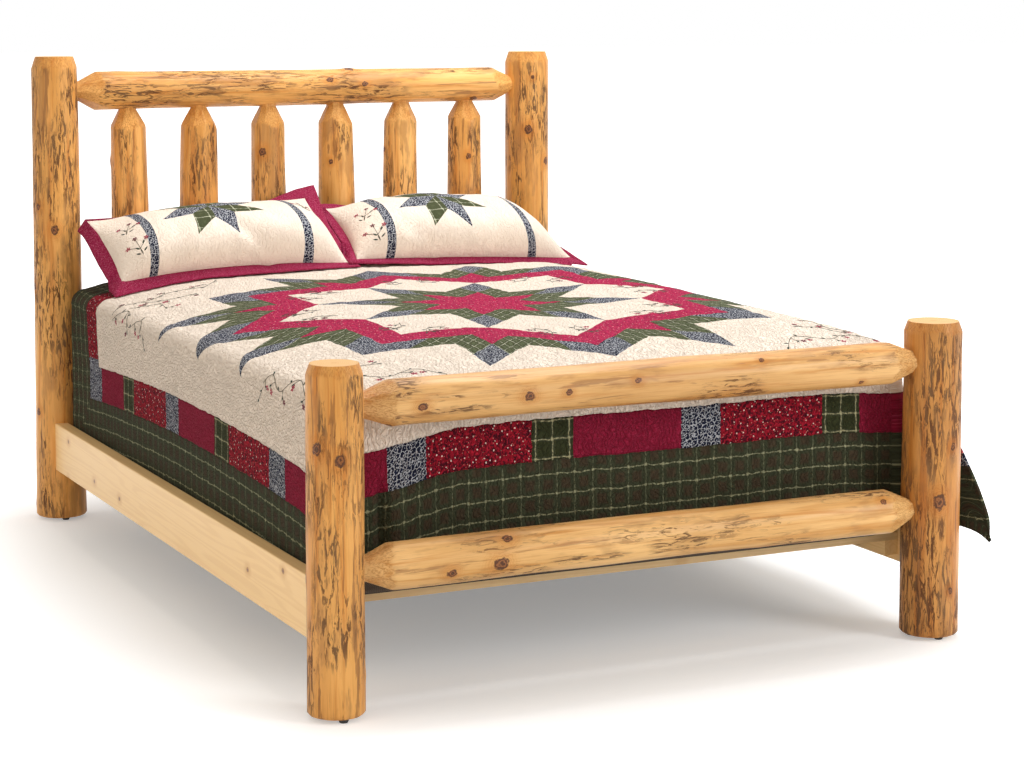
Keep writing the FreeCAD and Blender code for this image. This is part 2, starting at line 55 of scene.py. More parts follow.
class Graph:
    """Short calls that build one node tree, a material's or the world's."""

    def __init__(self, name, world=False):
        self.owner = (bpy.data.worlds if world else bpy.data.materials).new(name)
        self.owner.use_nodes = True
        self.tree = self.owner.node_tree
        self.tree.nodes.clear()
        self.output = self.node("ShaderNodeOutput" + ("World" if world else "Material"))

    def node(self, kind, **settings):
        made = self.tree.nodes.new(kind)
        for key, value in settings.items():
            setattr(made, key, value)
        return made

    def put(self, socket, value):
        """Link an output to the socket, or set its constant; colours are given as RGB."""
        if isinstance(value, bpy.types.NodeSocket):
            self.tree.links.new(value, socket)
        else:
            socket.default_value = (*value, 1.0) if socket.type == "RGBA" else value

    def fill(self, kind, *values, **settings):
        """The first output of a new node whose first inputs take the values."""
        made = self.node(kind, **settings)
        for socket, value in zip(made.inputs, values):
            self.put(socket, value)
        return made.outputs[0]

    def math(self, operation, *values):
        return self.fill("ShaderNodeMath", *values, operation=operation)

    add = partialmethod(math, "ADD")
    sub = partialmethod(math, "SUBTRACT")
    mul = partialmethod(math, "MULTIPLY")
    div = partialmethod(math, "DIVIDE")
    low = partialmethod(math, "MINIMUM")
    high = partialmethod(math, "MAXIMUM")
    less = partialmethod(math, "LESS_THAN")
    more = partialmethod(math, "GREATER_THAN")
    modulo = partialmethod(math, "MODULO")
    abs = partialmethod(math, "ABSOLUTE")
    sine = partialmethod(math, "SINE")
    cosine = partialmethod(math, "COSINE")
    rest = partialmethod(math, "SUBTRACT", 1.0)      # what is left to 1

    def length(self, x, y):
        return self.math("SQRT", self.add(self.mul(x, x), self.mul(y, y)))

    def step(self, value, low, high, out_low=0.0, out_high=1.0):
        """A smooth step of value from low to high."""
        return self.fill("ShaderNodeMapRange", value, low, high, out_low, out_high,
                         interpolation_type="SMOOTHSTEP")

    def scaled(self, vector, sizes):
        return self.fill("ShaderNodeVectorMath", vector, sizes, operation="MULTIPLY")

    def shifted(self, vector, by):
        return self.fill("ShaderNodeVectorMath", vector, by, operation="ADD")

    def split(self, vector):
        made = self.node("ShaderNodeSeparateXYZ")
        self.put(made.inputs[0], vector)
        return made.outputs

    def join(self, x, y):
        return self.fill("ShaderNodeCombineXYZ", x, y)

    def noise(self, vector, scale=1.0, detail=2.0, rough=0.5, warp=0.0):
        made = self.node("ShaderNodeTexNoise")
        for key, value in (("Vector", vector), ("Scale", scale), ("Detail", detail),
                           ("Roughness", rough), ("Distortion", warp)):
            self.put(made.inputs[key], value)
        return made.outputs["Fac"]

    def wander(self, vector, *settings, **named):
        """Noise about zero."""
        return self.sub(self.noise(vector, *settings, **named), 0.5)

    def cells(self, vector, scale, feature="F1", jitter=1.0):
        made = self.node("ShaderNodeTexVoronoi", feature=feature, voronoi_dimensions="2D")
        for key, value in (("Vector", vector), ("Scale", scale), ("Randomness", jitter)):
            self.put(made.inputs[key], value)
        return made.outputs

    def mix(self, factor, a, b, blend="MIX"):
        made = self.node("ShaderNodeMix", data_type="RGBA", blend_type=blend)
        for index, value in ((0, factor), (6, a), (7, b)):
            self.put(made.inputs[index], value)
        return made.outputs[2]

    def attribute(self, name, output="Vector"):
        return self.node("ShaderNodeAttribute", attribute_name=name).outputs[output]

    def flat(self):
        return self.node("ShaderNodeUVMap", uv_map="flat").outputs[0]

    def object(self):
        return self.node("ShaderNodeTexCoord").outputs["Object"]

    def seen(self):
        """1 where the camera sees the place, also by reflection or through glass."""
        rays = self.node("ShaderNodeLightPath").outputs
        seen = self.high(rays["Is Camera Ray"], rays["Is Glossy Ray"])
        return self.high(seen, rays["Is Transmission Ray"])

    def bump(self, height, distance, strength):
        made = self.node("ShaderNodeBump")
        for key, value in (("Strength", strength), ("Distance", distance), ("Height", height)):
            self.put(made.inputs[key], value)
        return made.outputs[0]

    def finish(self, color, roughness, normal, **fixed):
        bsdf = self.node("ShaderNodeBsdfPrincipled")
        self.tree.links.new(bsdf.outputs[0], self.output.inputs[0])
        for key, value in (("Base Color", color), ("Roughness", roughness), ("Normal", normal)):
            self.put(bsdf.inputs[key], value)
        for key, value in fixed.items():
            bsdf.inputs[key.replace("_", " ")].default_value = value
        return self.owner


def toned(tone, *shares):
    """A colour whose three parts are each taken by its own share."""
    return tuple(c * share for c, share in zip(tone, shares * (3 // len(shares))))


# ---------------------------------------------------------------- wood


def peeled_log(name, tone, stain):
    """Hand-peeled pine: honey wood, stretched grain, dark cambium flecks and knots.

    Reads the log's own coordinates (metres, z along the log), the distance to the nearest
    knot, the painted scars and the freshly cut places, which the mesh carries.
    """
    g = Graph(name)
    own = g.attribute("log")
    knot = g.attribute("knot", "Fac")
    scar = g.attribute("scar", "Fac")
    cut = g.attribute("cut", "Fac")
    broad = g.noise(g.scaled(own, (9, 9, 2.2)), detail=3)
    fibre = g.noise(g.scaled(own, (260, 260, 9)), detail=4, rough=0.6)
    hair = g.noise(g.scaled(own, (520, 520, 14)), detail=2)
    band = g.noise(g.scaled(own, (52, 52, 2.6)), detail=3, warp=0.7)
    pale = (min(1.0, tone[0] * 1.20 + 0.02), min(1.0, tone[1] * 1.28 + 0.02), tone[2] * 1.45 + 0.01)
    deep = toned(tone, 0.70, 0.52, 0.34)
    rust = toned(tone, 0.82, 0.58, 0.28)
    color = g.mix(g.step(broad, 0.36, 0.64), tone, pale)
    color = g.mix(g.mul(g.step(band, 0.47, 0.70), 0.70), color, rust)
    color = g.mix(g.mul(g.step(fibre, 0.45, 0.75), 0.38), color, deep)
    color = g.mix(g.mul(g.step(hair, 0.58, 0.72), 0.30), color, deep)
    patches = g.noise(g.shifted(g.scaled(own, (11, 11, 3.5)), (7.1, 2.3, 0.4)), detail=2)
    where = g.step(patches, 0.57 - 0.20 * stain, 0.72 - 0.16 * stain)
    where = g.high(where, scar)
    peeled = g.rest(g.mul(cut, 0.93))
    where = g.mul(where, peeled)
    fleck = g.noise(g.scaled(own, (105, 105, 19)), detail=5, rough=0.68, warp=0.9)
    fleck = g.step(fleck, 0.56 - 0.07 * stain, 0.63 - 0.07 * stain)
    thin = g.step(g.noise(g.scaled(own, (330, 330, 26)), detail=2), 0.60, 0.70)
    dark = g.high(g.mul(fleck, where), g.mul(g.mul(thin, 0.6), where))
    streak = g.noise(g.shifted(g.scaled(own, (58, 58, 4.2)), (2.2, 5.1, 1.3)),
                     detail=4, rough=0.62, warp=0.5)
    streak = g.mul(g.step(streak, 0.62 - 0.05 * stain, 0.68 - 0.05 * stain),
                   g.mul(peeled, min(1.0, 0.35 + 0.6 * stain)))
    tint = g.noise(g.scaled(own, (30, 30, 8)), detail=2)
    color = g.mix(g.mul(streak, 0.74), color, (0.215, 0.075, 0.017))
    wash = g.noise(g.shifted(g.scaled(own, (17, 17, 4.5)), (1.2, 8.3, 3.4)), detail=4, rough=0.6)
    wash = g.mul(g.step(wash, 0.52, 0.62), g.mul(peeled, 0.55 * stain + 0.08))
    color = g.mix(wash, color, (0.36, 0.165, 0.052))
    bark = g.mix(g.step(tint, 0.40, 0.62), (0.095, 0.032, 0.010), (0.075, 0.046, 0.027))
    color = g.mix(g.mul(dark, 0.92), color, bark)
    color = g.mix(g.mul(g.mul(where, g.step(tint, 0.3, 0.7)), 0.30), color, (0.42, 0.20, 0.065))
    wobble = g.mul(g.wander(g.scaled(own, (120, 120, 90)), detail=3), 0.011)
    away = g.add(knot, wobble)
    halo = g.rest(g.step(away, 0.010, 0.034))
    swirl = g.sine(g.mul(away, 1500.0))
    color = g.mix(g.mul(halo, 0.45), color, rust)
    color = g.mix(g.mul(g.mul(halo, g.step(swirl, 0.2, 0.9)), 0.40), color, deep)
    ring_tone = g.mix(g.step(swirl, -0.6, 0.8), (0.115, 0.038, 0.012), (0.30, 0.11, 0.032))
    color = g.mix(g.rest(g.step(away, 0.0080, 0.0110)), color, ring_tone)
    rim = g.mul(g.step(away, 0.0070, 0.0092), g.rest(g.step(away, 0.0092, 0.0120)))
    ragged = g.step(g.noise(g.scaled(own, (150, 150, 110)), detail=2), 0.38, 0.55)
    color = g.mix(g.mul(g.mul(rim, ragged), 0.85), color, (0.045, 0.020, 0.010))
    color = g.mix(g.mul(g.rest(g.step(away, 0.0015, 0.0050)), 0.75), color, (0.050, 0.022, 0.010))
    rasped = g.mul(cut, g.step(g.noise(g.scaled(own, (420, 420, 70)), detail=3), 0.45, 0.65))
    color = g.mix(g.mul(rasped, 0.65), color, deep)
    height = g.add(g.mul(fibre, 0.5), g.mul(g.add(dark, g.mul(streak, 0.5)), -0.9))
    height = g.add(height, g.mul(band, 0.5))
    height = g.add(height, g.mul(rasped, -0.8))
    normal = g.bump(height, 0.0012, 0.9)
    rough = g.add(0.40, g.mul(dark, 0.30))
    return g.finish(color, rough, normal, Coat_Weight=0.06, Coat_Roughness=0.30,
                    Specular_IOR_Level=0.28)


def end_grain(name, tone):
    """The sawn end of a log: growth rings about the pith, rays and a small check."""
    g = Graph(name)
    own = g.attribute("log")
    x, y, z = g.split(own)
    wander = g.mul(g.wander(g.scaled(own, (22, 22, 1)), detail=2), 0.012)
    away = g.add(g.length(x, y), wander)
    rings = g.sine(g.mul(away, 1500.0))
    saw = g.noise(g.scaled(own, (400, 400, 1)), detail=3)
    deep = toned(tone, 0.78, 0.66, 0.50)
    color = g.mix(g.mul(g.step(rings, -0.2, 1.0), 0.55), tone, deep)
    color = g.mix(g.mul(g.step(saw, 0.5, 0.7), 0.25), color, deep)
    core = g.rest(g.step(away, 0.004, 0.012))
    color = g.mix(g.mul(core, 0.5), color, deep)
    normal = g.bump(g.add(saw, g.mul(rings, 0.15)), 0.0006, 0.6)
    return g.finish(color, 0.55, normal, Specular_IOR_Level=0.3)


def sawn_pine(name, tone, across, along):
    """Planed board: long grain along one axis with cathedral figure and tight knots."""
    g = Graph(name)
    place = g.object()
    stretch = [26.0, 26.0, 26.0]
    stretch[along] = 1.1
    figure = g.noise(g.scaled(place, tuple(stretch)), detail=1, warp=0.3)
    rings = g.sine(g.mul(figure, 46.0))
    fine = [420.0, 420.0, 420.0]
    fine[along] = 10.0
    fibre = g.noise(g.scaled(place, tuple(fine)), detail=3, rough=0.6)
    deep = toned(tone, 0.80, 0.64, 0.42)
    pale = tuple(min(1.0, c * 1.10) for c in tone)
    color = g.mix(g.mul(g.step(rings, -0.3, 1.0), 0.20), pale, deep)
    color = g.mix(g.mul(g.step(fibre, 0.5, 0.75), 0.14), color, deep)
    parts = g.split(place)
    face = g.join(g.mul(parts[along], 0.70), parts[3 - across - along])
    cell = g.cells(face, 5.6, "F1", 0.9)
    away = g.add(cell["Distance"],
                 g.mul(g.wander(g.scaled(place, (60, 60, 60))), 0.035))
    some = g.more(g.split(cell["Color"])[0], 0.42)
    color = g.mix(g.mul(g.mul(g.rest(g.step(away, 0.03, 0.14)), 0.6), some), color, deep)
    color = g.mix(g.mul(g.rest(g.step(away, 0.026, 0.044)), some), color, (0.42, 0.19, 0.055))
    color = g.mix(g.mul(g.rest(g.step(away, 0.008, 0.022)), some), color, (0.12, 0.048, 0.016))
    normal = g.bump(g.add(fibre, g.mul(rings, 0.2)), 0.0005, 0.6)
    return g.finish(color, 0.44, normal, Coat_Weight=0.15, Coat_Roughness=0.35,
                    Specular_IOR_Level=0.35)


LOG_DARK = peeled_log("peeled log, streaked", (0.74, 0.355, 0.085), 0.80)
# A darker copy of the peeled log for the right foot post: its heavier streaks are stain, its deeper tone is
# partly painted shade.
LOG_DEEP_AND_SHADED = peeled_log("peeled log, deep honey with painted shade", (0.55, 0.235, 0.050), 1.0)
LOG_MID = peeled_log("peeled log, flecked", (0.76, 0.390, 0.105), 0.75)
LOG_PALE = peeled_log("peeled log, clean", (0.75, 0.435, 0.155), 0.50)
LOG_TAN = peeled_log("peeled log, tan", (0.66, 0.365, 0.125), 0.62)
END_GRAIN = end_grain("sawn log end", (0.76, 0.47, 0.20))
RAIL_PINE = sawn_pine("sawn pine rail", (0.88, 0.61, 0.285), 0, 1)
SLAT_PINE = sawn_pine("sawn pine slat", (0.72, 0.51, 0.26), 2, 0)


# ---------------------------------------------------------------- mesh helpers


def make_piece(name, verts, faces, materials, smooth=True, flat=None, slots=None, body="root"):
    """A mesh object from plain lists; flat holds one UV pair for each face corner."""
    mesh = bpy.data.meshes.new(name)
    mesh.from_pydata(verts, [], faces)
    for material in materials:
        mesh.materials.append(material)
    mesh.polygons.foreach_set("use_smooth", [smooth] * len(faces))
    if slots is not None:
        mesh.polygons.foreach_set("material_index", slots)
    if flat is not None:
        layer = mesh.uv_layers.new(name="flat")
        layer.data.foreach_set("uv", [c for pair in flat for c in pair])
    mesh.update()
    piece = bpy.data.objects.new(name, mesh)
    bpy.context.scene.collection.objects.link(piece)
    if body:
        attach(piece, body)
    return piece


def bake(piece):
    """Apply the piece's modifiers to its mesh."""
    graph = bpy.context.evaluated_depsgraph_get()
    mesh = bpy.data.meshes.new_from_object(piece.evaluated_get(graph),
                                           preserve_all_data_layers=True, depsgraph=graph)
    piece.modifiers.clear()
    piece.data = mesh


def ring_faces(base, around, rows, flip=False):
    """Quads between closed rings of points that follow one another from base on."""
    faces = []
    for row in range(rows):
        for k in range(around):
            a, b = base + row * around + k, base + row * around + (k + 1) % around
            faces.append((a + around, b + around, b, a) if flip else (a, b, b + around, a + around))
    return faces


def smooth_step(low, high, value):
    share = min(max((value - low) / (high - low), 0.0), 1.0)
    return share * share * (3 - 2 * share)


def spline(points, k, t):
    """The place a share t past point k, on a smooth curve through the points."""
    a, b, c, d = (points[min(max(i, 0), len(points) - 1)] for i in range(k - 1, k + 3))
    return 0.5 * (2 * b + (c - a) * t + (2 * a - 5 * b + 4 * c - d) * t * t
                  + (3 * b - a - 3 * c + d) * t ** 3)


# ---------------------------------------------------------------- logs


class Log:
    """A peeled log as rings along its axis, with knots, cut ends and a little bend.

    Angles are measured about the axis from the side that faces the foot of the bed.
    radii: (distance along, radius), straight from one to the next
    knots: (distance along, angle in degrees, size, height)
    scars: (distance along, angle in degrees, half length, half width)
    """

    spacing = 0.006
    around = 80
    bend = 0.003
    reach = 0.0             # how far the log runs into its mortises
    chamfer = None          # how far in and how far down the top edge is cut
    no_knot = 0.1
    own_shift = (0.83, 0.31, 1.7)

    def __init__(self, node, start, end, radii, seed, knots=(), scars=()):
        self.node = node
        self.start = Vector(start)
        self.axis = Vector(end) - self.start
        self.length = self.axis.length
        self.axis.normalize()
        self.first = Vector((0, -1, 0))
        self.second = Vector((1, 0, 0) if abs(self.axis.z) > 0.5 else (0, 0, 1))
        self.radii = radii
        self.seed = seed
        self.knots = knots
        self.scars = scars
        self.facets = []

    def radius(self, t):
        """The plain round radius."""
        for (t0, r0), (t1, r1) in zip(self.radii, self.radii[1:]):
            if t <= t1:
                return r0 + (r1 - r0) * (t - t0) / (t1 - t0)
        return self.radii[-1][1]

    def cone(self, length, tip, count):
        """Flat knife cuts that bring each end down to its tenon."""
        for from_end in (False, True):
            rng = random.Random(self.seed * 7 + (3 if from_end else 1))
            turn = rng.random()
            for k in range(count):
                angle = 2 * math.pi * (k + turn + rng.uniform(-0.18, 0.18)) / count
                self.facets.append((angle, length * rng.uniform(0.86, 1.18),
                                    tip * rng.uniform(0.96, 1.06), from_end))

    def off(self, angle, degrees):
        """How far the angle lies from a mark, from -pi to pi."""
        return (angle - math.radians(degrees) + math.pi) % (2 * math.pi) - math.pi

    def section(self, t, angle):
        """Radius at a place on the surface, and how far a knife has cut it."""
        x, y = math.cos(angle), math.sin(angle)
        body = self.radius(min(max(t, 0.0), self.length))
        body += 0.0022 * noise.noise(Vector((x * 1.3, y * 1.3, t * 3.0)) + Vector((self.seed * 3.7, 0, 0)))
        body += 0.0010 * noise.noise(Vector((x * 4.5, y * 4.5, t * 7.0)) + Vector((0, self.seed * 5.1, 0)))
        for along, degrees, size, height in self.knots:
            gap = math.hypot((t - along) * 0.62, self.off(angle, degrees) * body) / (size * 2.1)
            if gap < 2.5:
                body += height * math.exp(-gap * gap * 1.6)
        cut = 0.0
        for facet, length, tip, from_end in self.facets:
            run = self.length - t if from_end else t
            face = math.cos(angle - facet)
            if run > length * 2.2 or face < 0.3:
                continue
            full = self.radius(self.length - length if from_end else length)
            plane = (tip + (full - tip) / length * max(run, 0.0)) / face
            if plane < body:
                body, cut = plane, 1.0
        if self.chamfer:
            inward, down = self.chamfer
            run = self.length - t
            if run < down * 1.25:
                limit = self.radius(self.length) - inward * (1 - run / down)
                limit += 0.0012 * noise.noise(Vector((x * 3, y * 3, self.seed)))
                if limit < body:
                    body, cut = limit, 0.8
        return body, cut

    def nearest_knot(self, t, angle, radius):
        """The distance to the nearest knot, scaled so that each has a size of 10 mm."""
        gaps = [math.hypot((t - along) * 0.80, self.off(angle, degrees) * radius) * 0.010 / size
                for along, degrees, size, height in self.knots]
        return min(gaps + [self.no_knot])

    def scarred(self, t, angle, radius):
        gaps = [math.hypot((t - along) / half_length, self.off(angle, degrees) * radius / half_width)
                for along, degrees, half_length, half_width in self.scars]
        return max([1 - smooth_step(0.55, 1.15, gap) for gap in gaps] + [0.0])

    def build(self, material):
        low, high = -self.reach, self.length + self.reach
        count = max(2, round((high - low) / self.spacing))
        n = self.around
        sx, sy, sz = (self.seed * c for c in self.own_shift)
        sideways = self.first * math.cos(self.seed * 1.9) + self.second * math.sin(self.seed * 1.9)
        points = []

        def put(place, own, knot=self.no_knot, scar=0.0, cut=1.0):
            points.append((place, own, knot, scar, cut))
            return len(points) - 1

        for ring in range(count + 1):
            t = low + (high - low) * ring / count
            inside = min(max(t / self.length, 0.0), 1.0)
            center = self.start + self.axis * t + sideways * (self.bend * math.sin(math.pi * inside))
            for k in range(n):
                angle = 2 * math.pi * k / n
                radius, cut = self.section(t, angle)
                x, y = radius * math.cos(angle), radius * math.sin(angle)
                put(center + (self.first * math.cos(angle) + self.second * math.sin(angle)) * radius,
                    (x + sx, y + sy, t + sz), self.nearest_knot(t, angle, radius),
                    self.scarred(t, angle, radius), cut)
        faces = ring_faces(0, n, count)
        slots = [0] * len(faces)
        for last, at_end in ((0, False), (count, True)):
            rim = range(last * n, last * n + n)
            center = sum((points[i][0] for i in rim), Vector()) / n
            t = points[rim[0]][1][2]
            outer = rim
            for share in (0.93, 0.66, 0.33):
                inner = []
                for i in rim:
                    place, (x, y, z) = points[i][:2]
                    inner.append(put(center + (place - center) * share,
                                     ((x - sx) * share, (y - sy) * share, t)))
                for k in range(n):
                    a, b, c, d = outer[k], outer[(k + 1) % n], inner[(k + 1) % n], inner[k]
                    faces.append((a, b, c, d) if at_end else (b, a, d, c))
                outer = inner
            top = put(center, (0.0, 0.0, t))
            for k in range(n):
                a, b = outer[k], outer[(k + 1) % n]
                faces.append((a, b, top) if at_end else (b, a, top))
        slots += [1] * (len(faces) - len(slots))
        verts, own, knot, scar, cuts = zip(*points)
        piece = make_piece(self.node + "_log", verts, faces, [material, END_GRAIN], slots=slots)
        mesh = piece.data
        mesh.attributes.new("log", "FLOAT_VECTOR", "POINT").data.foreach_set(
            "vector", [c for item in own for c in item])
        for key, values in (("knot", knot), ("scar", scar), ("cut", cuts)):
            mesh.attributes.new(key, "FLOAT", "POINT").data.foreach_set("value", values)
        mesh.set_sharp_from_angle(angle=math.radians(40))
        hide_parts(self.node)


def random_knots(seed, length, count, size=(0.006, 0.011), height=(0.001, 0.003)):
    rng = random.Random(seed)
    return tuple((length * (k + rng.uniform(0.15, 0.85)) / count, rng.uniform(0, 360),
                  rng.uniform(*size), rng.uniform(*height)) for k in range(count))


def build_post(node, chamfer, diameters, seed, material, knots, scars):
    """One upright post, from its glides to its chamfered top."""
    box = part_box(node)
    x, y, z = middle(box)
    low, high = box[0][2], box[1][2]
    height = high - low
    foot, top = diameters[0] / 2, diameters[1] / 2
    eased = 0.006
    radii = [(0.0, foot - 0.005), (eased, foot - (foot - top) * eased / height), (height, top)]
    post = Log(node, (x, y, low), (x, y, high), radii, seed,
               knots + random_knots(seed + 40, height, round(height / 0.21)), scars)
    post.chamfer = chamfer
    post.bend = 0.0
    post.build(material)


# Knots and scars of the front of each post, as distance above the glides
build_post("foot_post_left", (0.008, 0.022), (0.128, 0.123), 1, LOG_DARK,
           ((0.587, -58.0, 0.012, 0.002), (0.563, -10.0, 0.011, 0.002)),
           ((0.61, -48.0, 0.10, 0.012), (0.20, -20.0, 0.10, 0.05), (0.57, 0.0, 0.05, 0.03)))
# the right foot post takes the darker log, whose deeper tone is partly painted shade
build_post("foot_post_right", (0.008, 0.022), (0.142, 0.139), 2, LOG_DEEP_AND_SHADED,
           ((0.335, -19.0, 0.015, 0.005),),
           ((0.38, -12.0, 0.05, 0.010), (0.55, -32.0, 0.20, 0.035), (0.27, -13.0, 0.035, 0.012),
            (0.20, -60.0, 0.16, 0.03)))
build_post("head_post_left", (0.010, 0.030), (0.147, 0.131), 3, LOG_DARK,
           ((0.86, -20.0, 0.011, 0.003),),
           ((0.95, -25.0, 0.10, 0.02), (1.10, -20.0, 0.06, 0.03), (0.72, -15.0, 0.07, 0.02)))
build_post("head_post_right", (0.010, 0.030), (0.142, 0.139), 4, LOG_DARK,
           ((1.12, -22.0, 0.012, 0.003),), ((1.20, -20.0, 0.07, 0.03), (0.92, -50.0, 0.09, 0.02)))


def build_rail(node, diameters, seed, material, knots=(), scars=()):
    """A horizontal log between the faces of two posts, with a knife-cut cone at each end."""
    tenon, cone = 0.072, 0.062
    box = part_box(node)
    x, y, z = middle(box)
    x0, x1 = box[0][0] + tenon, box[1][0] - tenon
    length = x1 - x0
    left, right = diameters[0] / 2, diameters[1] / 2
    radii = [(0.0, left), (cone, left), (length - cone, right), (length, right)]
    rail = Log(node, (x0, y, z), (x1, y, z), radii, seed, knots + random_knots(seed + 60, length, 5), scars)
    rail.cone(cone, 0.026, 9)
    rail.reach = 0.014
    rail.build(material)


build_rail("head_top_rail", (0.113, 0.106), 5, LOG_MID,
           ((0.86, 70.0, 0.011, 0.007), (0.90, 10.0, 0.008, 0.002)), ((0.5, 10.0, 0.2, 0.02),))
build_rail("head_bottom_rail", (0.108, 0.104), 6, LOG_MID)
build_rail("foot_top_rail", (0.102, 0.100), 7, LOG_TAN,
           ((0.122, -7.0, 0.009, 0.002), (0.378, -3.0, 0.010, 0.002), (0.475, -2.0, 0.007, 0.001)),
           ((0.17, 12.0, 0.06, 0.008), (0.20, -22.0, 0.10, 0.010)))
build_rail("foot_bottom_rail", (0.103, 0.106), 8, LOG_PALE,
           ((0.333, 50.0, 0.010, 0.001), (0.308, -11.0, 0.014, 0.003)), ((0.52, -25.0, 0.12, 0.012),))


def build_spindle(index):
    """A short upright log, widest at the middle, between the headboard's rails."""
    tenon, cone = 0.042, 0.057
    node = "spindle_%d" % index
    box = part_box(node)
    x, y, z = middle(box)
    z0, z1 = box[0][2] + tenon, box[1][2] - tenon
    length = z1 - z0
    half = (box[1][0] - box[0][0]) / 2
    radii = [(0.0, half - 0.003), (cone, half - 0.003), (length / 2, half),
             (length - cone, half - 0.004), (length, half - 0.004)]
    seed = 20 + index
    spindle = Log(node, (x, y, z0), (x, y, z1), radii, seed, random_knots(seed + 80, length, 3))
    spindle.cone(cone, 0.024, 8)
    spindle.reach = 0.012
    spindle.build(LOG_DARK if index in (1, 2, 6) else LOG_MID)


for number in range(1, 7):
    build_spindle(number)

leg_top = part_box("center_leg")[1][2]
leg = Log("center_leg", (0, 0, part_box("center_leg")[0][2]), (0, 0, leg_top - 0.0005),
          [(0.0, 0.027), (0.005, 0.032), (leg_top, 0.0315)], 31,
          random_knots(9, leg_top, 2, (0.004, 0.006)))
leg.bend = 0.0
leg.build(LOG_PALE)


# ---------------------------------------------------------------- boards and hardware


def dress(node, material):
    """Give a CAD node that stays its material."""
    piece = bpy.data.objects[node]
    piece.data.materials.clear()
    piece.data.materials.append(material)


def grainy(name, scales, low, high, first, second, roughness, bump, detail=2, **fixed):
    """Paint, plate, plastic or thread: a fine grain in its tone and its surface."""
    g = Graph(name)
    grain = g.noise(g.scaled(g.object(), scales), detail=detail)
    color = g.mix(g.step(grain, low, high), first, second)
    return g.finish(color, roughness, g.bump(grain, *bump), **fixed)


STEEL = grainy("black powder coat", (900, 900, 900), 0.3, 0.7, (0.020, 0.020, 0.022),
               (0.034, 0.034, 0.036), 0.48, (0.0003, 0.5))
ZINC = grainy("zinc plate", (300, 300, 300), 0.35, 0.65, (0.50, 0.49, 0.44),
              (0.62, 0.61, 0.57), 0.38, (0.0002, 0.4), Metallic=0.9)
GLIDE_BLACK = grainy("black glide", (500, 500, 60), 0.55, 0.7, (0.018, 0.018, 0.019),
                     (0.07, 0.068, 0.064), 0.5, (0.0002, 0.5), detail=3)
for side in ("left", "right"):
    dress("side_rail_" + side, RAIL_PINE)
    dress("side_cleat_" + side, RAIL_PINE)
    dress("rail_bracket_foot_" + side, STEEL)
    dress("rail_bracket_head_" + side, STEEL)
for number in range(1, 6):
    dress("slat_%d" % number, SLAT_PINE)
for node in ("bracket_screws", "bracket_lag_bolts", "cleat_screws", "center_leg_screw"):
    dress(node, ZINC)
dress("floor_glides", GLIDE_BLACK)


# ---------------------------------------------------------------- quilt: its flat pattern

STAR_SIDE = 0.230         # side of one large diamond of the star
STAR_X, STAR_Y = 0.015, -0.162
BAND_IN, BAND_OUT = 0.945, 1.042
BLOCK_PITCH = 0.390
BLOCK_HALF = 0.053
SCALLOP, STITCH_ROW = 0.031, 0.0125

CREAM = (0.945, 0.838, 0.728)
CREAM_SHADE = (0.66, 0.53, 0.40)
BURGUNDY = (0.225, 0.008, 0.032)
FLANGE_RED = (0.27, 0.010, 0.052)
RED = (0.300, 0.008, 0.022)
NAVY = (0.010, 0.014, 0.036)
NAVY_LIGHT = (0.58, 0.61, 0.66)
GREEN = (0.105, 0.125, 0.062)
GREEN_SHADE = (0.070, 0.082, 0.040)
GREEN_WHITE = (0.62, 0.64, 0.48)
BORDER = (0.058, 0.043, 0.026)
BORDER_SHADE = (0.046, 0.054, 0.030)
BORDER_LINE = (0.36, 0.37, 0.23)
BLOCK_GREEN = (0.034, 0.040, 0.016)
BLOCK_LINE = (0.48, 0.46, 0.27)


def print_navy(g, place):
    """Navy print: small dark flowers with a pale eye in a pale scrolling net."""
    moved = g.shifted(place, g.mul(g.wander(place, 170.0, 1.0), 0.009))
    net = g.cells(moved, 86.0, "DISTANCE_TO_EDGE", 1.0)["Distance"]
    eye = g.cells(moved, 86.0, "F1", 1.0)["Distance"]
    scroll = g.abs(g.wander(place, 230.0, 1.0, 0.5, 1.5))
    light = g.mul(g.rest(g.step(net, 0.05, 0.11)), g.step(scroll, 0.0, 0.03, 0.25, 1.0))
    light = g.high(light, g.mul(g.less(eye, 0.14), 0.9))
    return g.mix(g.mul(light, 0.9), NAVY, NAVY_LIGHT)


def print_red(g, place):
    """Red print: dark leaves, brighter petals and scattered pale dots."""
    blot = g.noise(place, 105.0, 2.0, 0.6, 1.0)
    color = g.mix(g.mul(g.step(blot, 0.47, 0.54), 0.88), RED, (0.045, 0.004, 0.012))
    bright = g.noise(place, 170.0, 1.0)
    color = g.mix(g.mul(g.step(bright, 0.57, 0.63), 0.7), color, (0.52, 0.020, 0.045))
    dots = g.cells(place, 44.0, "F1", 1.0)
    color = g.mix(g.less(dots["Distance"], 0.080), color, (0.84, 0.70, 0.64))
    small = g.cells(g.shifted(place, (3.1, 1.7, 0.0)), 66.0)
    return g.mix(g.mul(g.less(small["Distance"], 0.075), 0.7), color, (0.80, 0.36, 0.28))


def print_plain(g, place, base=BURGUNDY, line_color=(0.42, 0.045, 0.10)):
    """Tone on tone burgundy with a fine scribble."""
    line = g.noise(place, 62.0, 2.0, 0.55, 2.6)
    near = g.abs(g.sub(line, 0.5))
    color = g.mix(g.mul(g.less(near, 0.016), 0.55), base, line_color)
    mottle = g.noise(place, 420.0, 2.0)
    return g.mix(g.mul(g.step(mottle, 0.5, 0.7), 0.35), color, toned(base, 0.55))


